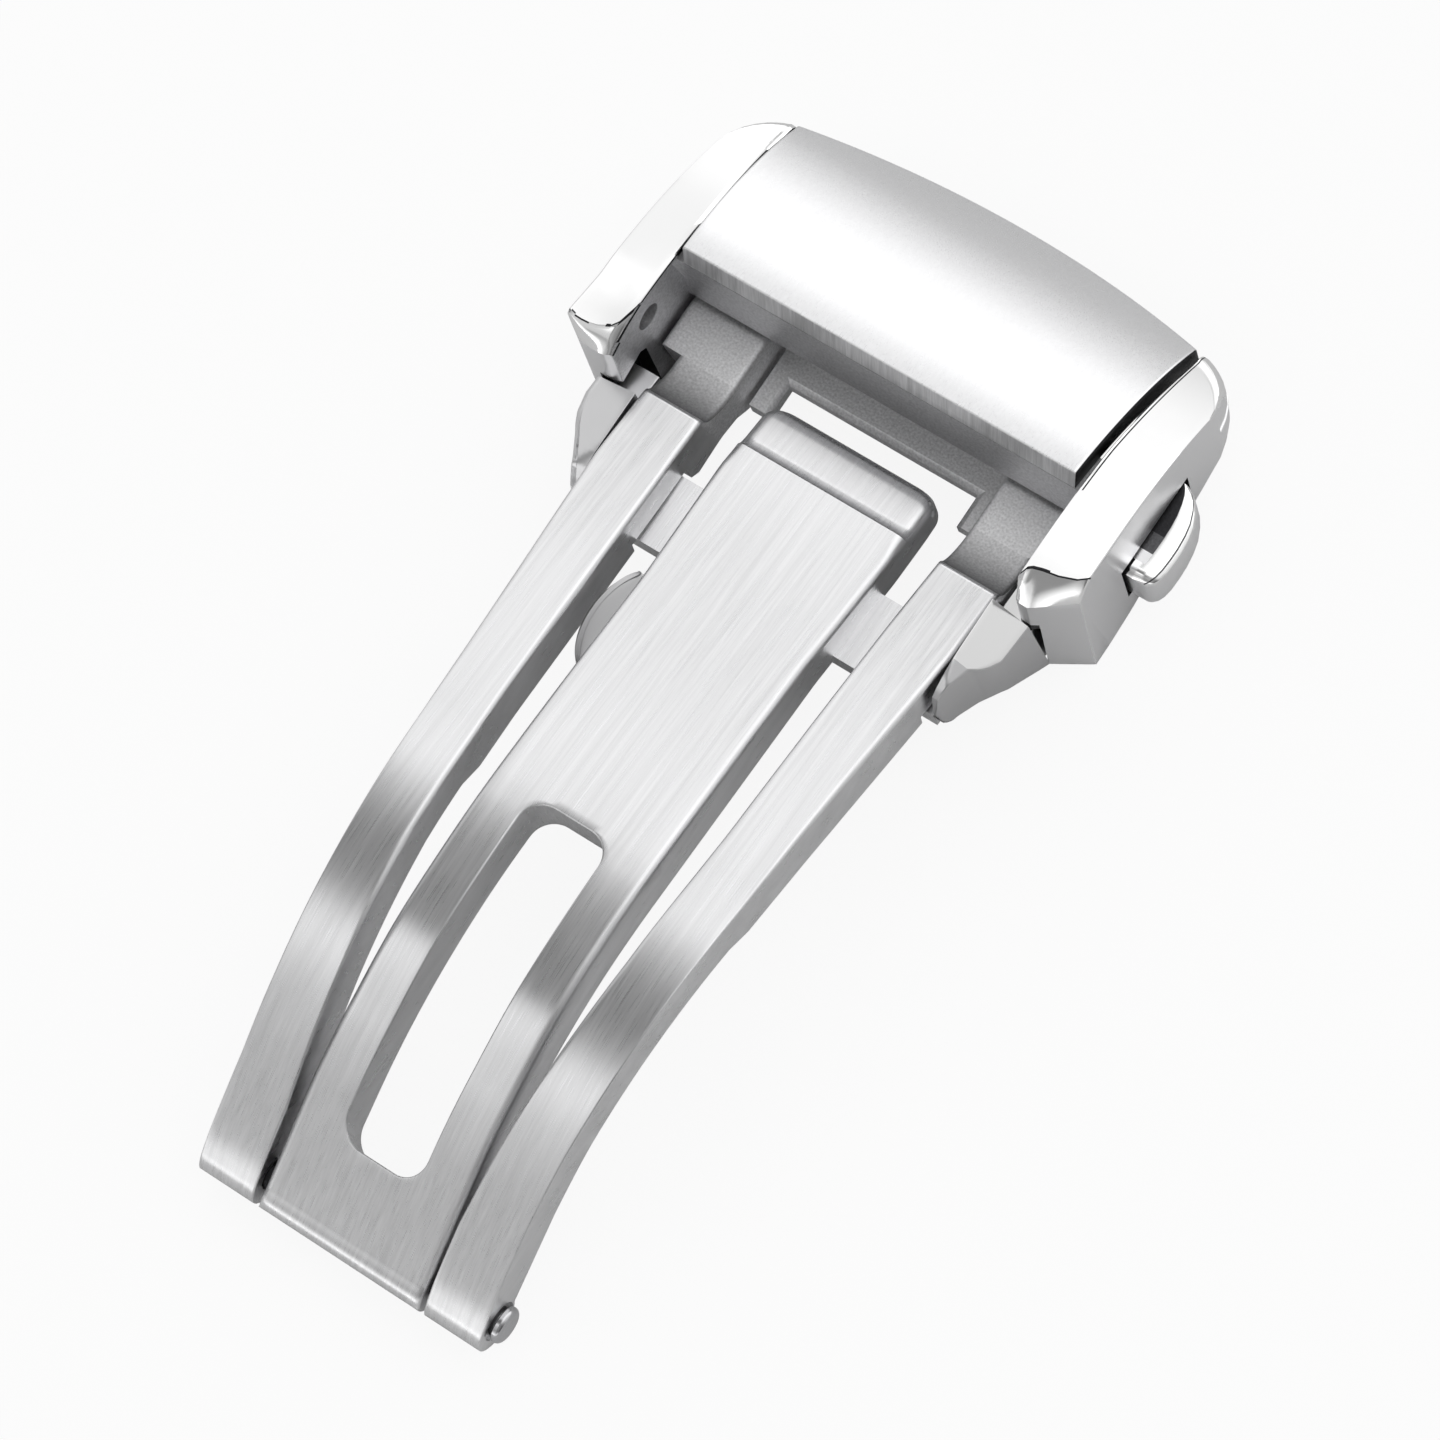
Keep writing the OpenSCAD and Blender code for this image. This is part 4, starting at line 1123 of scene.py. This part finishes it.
class CLASP_OT_blade(bpy.types.Operator):
    """Build the centre blade with its slot, and the lug, pin, ears and rails that it carries"""
    bl_idname = "clasp.blade"
    bl_label = "Centre blade"

    def execute(self, context):
        build_blade(context.scene.clasp_blade)
        build_lug()
        build_pin()
        for side in (-1, 1):
            build_ear(side)
            build_rail(side)
        return {"FINISHED"}


class CLASP_OT_cover(bpy.types.Operator):
    """Build the curved cover"""
    bl_idname = "clasp.cover"
    bl_label = "Cover"

    def execute(self, context):
        build_cover(context.scene.clasp_head)
        return {"FINISHED"}


class CLASP_OT_cheeks(bpy.types.Operator):
    """Build the two cheeks and their pushers"""
    bl_idname = "clasp.cheeks"
    bl_label = "Cheeks"

    def execute(self, context):
        for side in (-1, 1):
            build_cheek(context.scene.clasp_head, side)
            build_pusher(side)
        return {"FINISHED"}


# ---------------------------------------------------------------------- stage

# Light of the dome over the direction's Y component: strip lights and dark cards in turn
BANDS = (
    (-1.0, 0.80), (-0.93, 0.74), (-0.88, 0.50), (-0.83, 0.40), (-0.77, 0.64), (-0.62, 0.70),
    (-0.54, 0.80), (-0.46, 1.12), (-0.38, 1.20), (-0.31, 1.08), (-0.26, 0.34), (-0.10, 0.20),
    (0.06, 0.22), (0.18, 0.48), (0.28, 0.78), (0.33, 1.30), (0.385, 1.44), (0.43, 0.74),
    (0.48, 0.26), (0.56, 0.44), (0.62, 0.80), (0.68, 1.10), (0.75, 1.30), (0.89, 1.28),
    (0.94, 0.80), (1.0, 0.35),
)
# Broad light at the dome's sides, over the direction's X component
ASIDE = (
    (-1.0, 0.9), (-0.55, 1.05), (0.0, 1.05), (0.15, 1.5), (0.5, 1.6), (0.7, 1.0), (1.0, 0.7),
)
DOME_X = -0.3       # X of the direction about which the dome's bands lie
WHITE = (1.0, 1.0, 1.0, 1.0)
FLOOR_Z = -0.02     # the floor lies this far below the clasp, in mm
# name, place and side of each lamp in mm, and its share of the key lamp's power
LAMPS = (("key", (-120, 230, 260), 200, 1.0), ("fill", (240, -160, 260), 260, 0.4))
# The photo's view, fitted to edges of the clasp: place in mm, the camera's axes, lens in mm
CAMERA_PLACE = (66.17, -33.01, 207.02)
CAMERA_RIGHT = (0.8163, 0.5527, -0.1678)
CAMERA_UP = (-0.4936, 0.8184, 0.2943)
CAMERA_BACK = (0.3, -0.1574, 0.9409)
CAMERA_LENS = 145.2
SENSOR_WIDTH = 36.0


def light_ramp(tree, component, bands, level):
    """A background lit by a ramp over one direction component from -1 to 1."""
    along = add_node(tree, "ShaderNodeMapRange", {
        "Value": component, "From Min": -1.0, "From Max": 1.0})
    ramp = add_node(tree, "ShaderNodeValToRGB", {"Fac": along.outputs["Result"]})
    peak = max(value for _, value in bands)
    while len(ramp.color_ramp.elements) < len(bands):
        ramp.color_ramp.elements.new(0.5)
    for element, (at, value) in zip(ramp.color_ramp.elements, bands):
        element.position = (at + 1) / 2
        element.color = (value / peak, value / peak, value / peak, 1.0)
    return add_node(tree, "ShaderNodeBackground", {
        "Color": ramp.outputs["Color"], "Strength": level * peak})


def world_shader(level):
    """White where the camera looks past the object. For all other rays a dome with the soft
    bands of BANDS. They fade into the broad light of ASIDE where x is more than 0.45 from
    DOME_X, and already from 0.22 on where y > 0.3; that light is dim below y = -0.2. A low
    strip stands on the fold roll's side."""
    world = bpy.data.worlds.new("Studio")
    bpy.context.scene.world = world
    world.use_nodes = True
    tree = world.node_tree
    tree.nodes.clear()
    coord = add_node(tree, "ShaderNodeTexCoord")
    split = add_node(tree, "ShaderNodeSeparateXYZ", {"Vector": coord.outputs["Generated"]})
    x, y, z = (split.outputs[axis] for axis in "XYZ")
    bands = light_ramp(tree, y, BANDS, level)
    broad = light_ramp(tree, x, ASIDE, level)

    dim = add_node(tree, "ShaderNodeMapRange", {
        "Value": y, "From Min": -0.2, "From Max": 0.25,
        "To Min": 0.3 * level, "To Max": 1.6 * level})
    tree.links.new(dim.outputs["Result"], broad.inputs["Strength"])

    shift = add_node(tree, "ShaderNodeMath", {0: x, 1: -DOME_X}, operation="ADD")
    size = add_node(tree, "ShaderNodeMath", {0: shift.outputs["Value"]}, operation="ABSOLUTE")
    beside = add_node(tree, "ShaderNodeMapRange", {
        "Value": size.outputs["Value"], "From Min": 0.22, "From Max": 0.3})
    above = add_node(tree, "ShaderNodeMapRange", {"Value": y, "From Min": 0.3, "From Max": 0.4})
    far = add_node(tree, "ShaderNodeMapRange", {
        "Value": size.outputs["Value"], "From Min": 0.45, "From Max": 0.55})
    near = add_node(tree, "ShaderNodeMath", {
        0: beside.outputs["Result"], 1: above.outputs["Result"]}, operation="MULTIPLY")
    either = add_node(tree, "ShaderNodeMath", {
        0: near.outputs["Value"], 1: far.outputs["Result"]}, operation="MAXIMUM")
    dome = add_node(tree, "ShaderNodeMixShader", {
        "Fac": either.outputs["Value"], 1: bands.outputs["Background"],
        2: broad.outputs["Background"]})

    low = add_node(tree, "ShaderNodeMapRange", {
        "Value": z, "From Min": 0.02, "From Max": 0.3, "To Min": 1.0, "To Max": 0.0})
    toward = add_node(tree, "ShaderNodeMapRange", {
        "Value": y, "From Min": -0.6, "From Max": -0.8, "To Min": 0.0, "To Max": 1.2 * level})
    strip = add_node(tree, "ShaderNodeMath", {
        0: low.outputs["Result"], 1: toward.outputs["Result"]}, operation="MULTIPLY")
    strip_light = add_node(tree, "ShaderNodeBackground", {
        "Color": WHITE, "Strength": strip.outputs["Value"]})
    total = add_node(tree, "ShaderNodeAddShader", {
        0: dome.outputs["Shader"], 1: strip_light.outputs["Background"]})

    path = add_node(tree, "ShaderNodeLightPath")
    white = add_node(tree, "ShaderNodeBackground", {"Color": WHITE, "Strength": 1.0})
    seen = add_node(tree, "ShaderNodeMixShader", {
        "Fac": path.outputs["Is Camera Ray"], 1: total.outputs["Shader"],
        2: white.outputs["Background"]})
    add_node(tree, "ShaderNodeOutputWorld", {"Surface": seen.outputs["Shader"]})


def floor_material():
    """Pale matt floor, near white to the camera, that keeps a soft shadow; reflections see a
    plain grey floor."""
    mat, tree = new_tree("Pale floor")
    path = add_node(tree, "ShaderNodeLightPath")
    pale = add_node(tree, "ShaderNodeBsdfDiffuse", {"Color": linear("#F4F4F4")})
    grey = add_node(tree, "ShaderNodeBsdfDiffuse", {"Color": linear("#DCDCDC")})
    glow = add_node(tree, "ShaderNodeEmission", {"Color": WHITE, "Strength": 1.0})
    front = add_node(tree, "ShaderNodeMixShader", {
        "Fac": 0.9, 1: pale.outputs["BSDF"], 2: glow.outputs["Emission"]})
    mix = add_node(tree, "ShaderNodeMixShader", {
        "Fac": path.outputs["Is Camera Ray"], 1: grey.outputs["BSDF"],
        2: front.outputs["Shader"]})
    add_node(tree, "ShaderNodeOutputMaterial", {"Surface": mix.outputs["Shader"]})
    return mat


def place_matrix(right, up, back, place_mm):
    """The matrix of an object with these axes at a place in mm."""
    matrix = Matrix((right, up, back)).transposed().to_4x4()
    matrix.translation = [c * MM for c in place_mm]
    return matrix


def add_lamp(name, place, size, power):
    """A square area lamp at place (mm) that points at the middle of the clasp."""
    data = bpy.data.lights.new(name, "AREA")
    data.energy = power
    data.size = size * MM
    obj = bpy.data.objects.new(name, data)
    bpy.context.scene.collection.objects.link(obj)
    back = unit(np.array(place, float))
    right = unit(np.cross((0, 1, 0), back))
    obj.matrix_world = place_matrix(right, np.cross(back, right), back, place)
    return obj


class CLASP_OT_stage(bpy.types.Operator):
    """Set up floor, light, world and camera"""
    bl_idname = "clasp.stage"
    bl_label = "Studio"

    def execute(self, context):
        s = context.scene.clasp_stage
        half = s.floor_size / 2
        mesh = bpy.data.meshes.new("floor")
        corners = ((-half, -half), (half, -half), (half, half), (-half, half))
        mesh.from_pydata([(x, y, FLOOR_Z * MM) for x, y in corners], [], [(0, 1, 2, 3)])
        floor = bpy.data.objects.new("floor", mesh)
        mesh.materials.append(floor_material())
        context.scene.collection.objects.link(floor)
        world_shader(s.world_level)
        for name, place, size, share in LAMPS:
            add_lamp(name, place, size, share * s.lamp_power)
        data = bpy.data.cameras.new("camera")
        data.sensor_width = SENSOR_WIDTH
        data.lens = CAMERA_LENS
        data.clip_start, data.clip_end = 0.01, 5.0
        camera = bpy.data.objects.new("camera", data)
        context.scene.collection.objects.link(camera)
        camera.matrix_world = place_matrix(CAMERA_RIGHT, CAMERA_UP, CAMERA_BACK, CAMERA_PLACE)
        context.scene.camera = camera
        context.scene.view_settings.view_transform = "Standard"
        return {"FINISHED"}


class CLASP_PT_panel(bpy.types.Panel):
    """Sidebar panel with the clasp's settings and build buttons"""
    bl_idname = "CLASP_PT_panel"
    bl_label = "Clasp"
    bl_space_type = "VIEW_3D"
    bl_region_type = "UI"
    bl_category = "Clasp"

    def draw(self, context):
        for group in SETTINGS:
            settings = getattr(context.scene, group)
            for key in settings.__annotations__:
                self.layout.prop(settings, key)
        for op in OPERATORS:
            self.layout.operator(op.bl_idname)


SETTINGS = {
    "clasp_fork": ClaspForkSettings,
    "clasp_blade": ClaspBladeSettings,
    "clasp_head": ClaspHeadSettings,
    "clasp_finish": ClaspFinishSettings,
    "clasp_stage": ClaspStageSettings,
}
OPERATORS = (
    CLASP_OT_materials, CLASP_OT_fork, CLASP_OT_blade, CLASP_OT_cover, CLASP_OT_cheeks,
    CLASP_OT_stage,
)


def register():
    """Registers the settings, the operators and the panel."""
    for name, cls in SETTINGS.items():
        bpy.utils.register_class(cls)
        setattr(bpy.types.Scene, name, bpy.props.PointerProperty(type=cls))
    for cls in OPERATORS:
        bpy.utils.register_class(cls)
    bpy.utils.register_class(CLASP_PT_panel)


def unregister():
    """Removes what register() added."""
    bpy.utils.unregister_class(CLASP_PT_panel)
    for cls in reversed(OPERATORS):
        bpy.utils.unregister_class(cls)
    for name, cls in SETTINGS.items():
        delattr(bpy.types.Scene, name)
        bpy.utils.unregister_class(cls)


def main():
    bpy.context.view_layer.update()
    register()
    bpy.ops.clasp.materials()
    bpy.ops.clasp.fork()
    bpy.ops.clasp.blade()
    bpy.ops.clasp.cover()
    bpy.ops.clasp.cheeks()
    bpy.ops.clasp.stage()


if __name__ == "__main__":
    main()
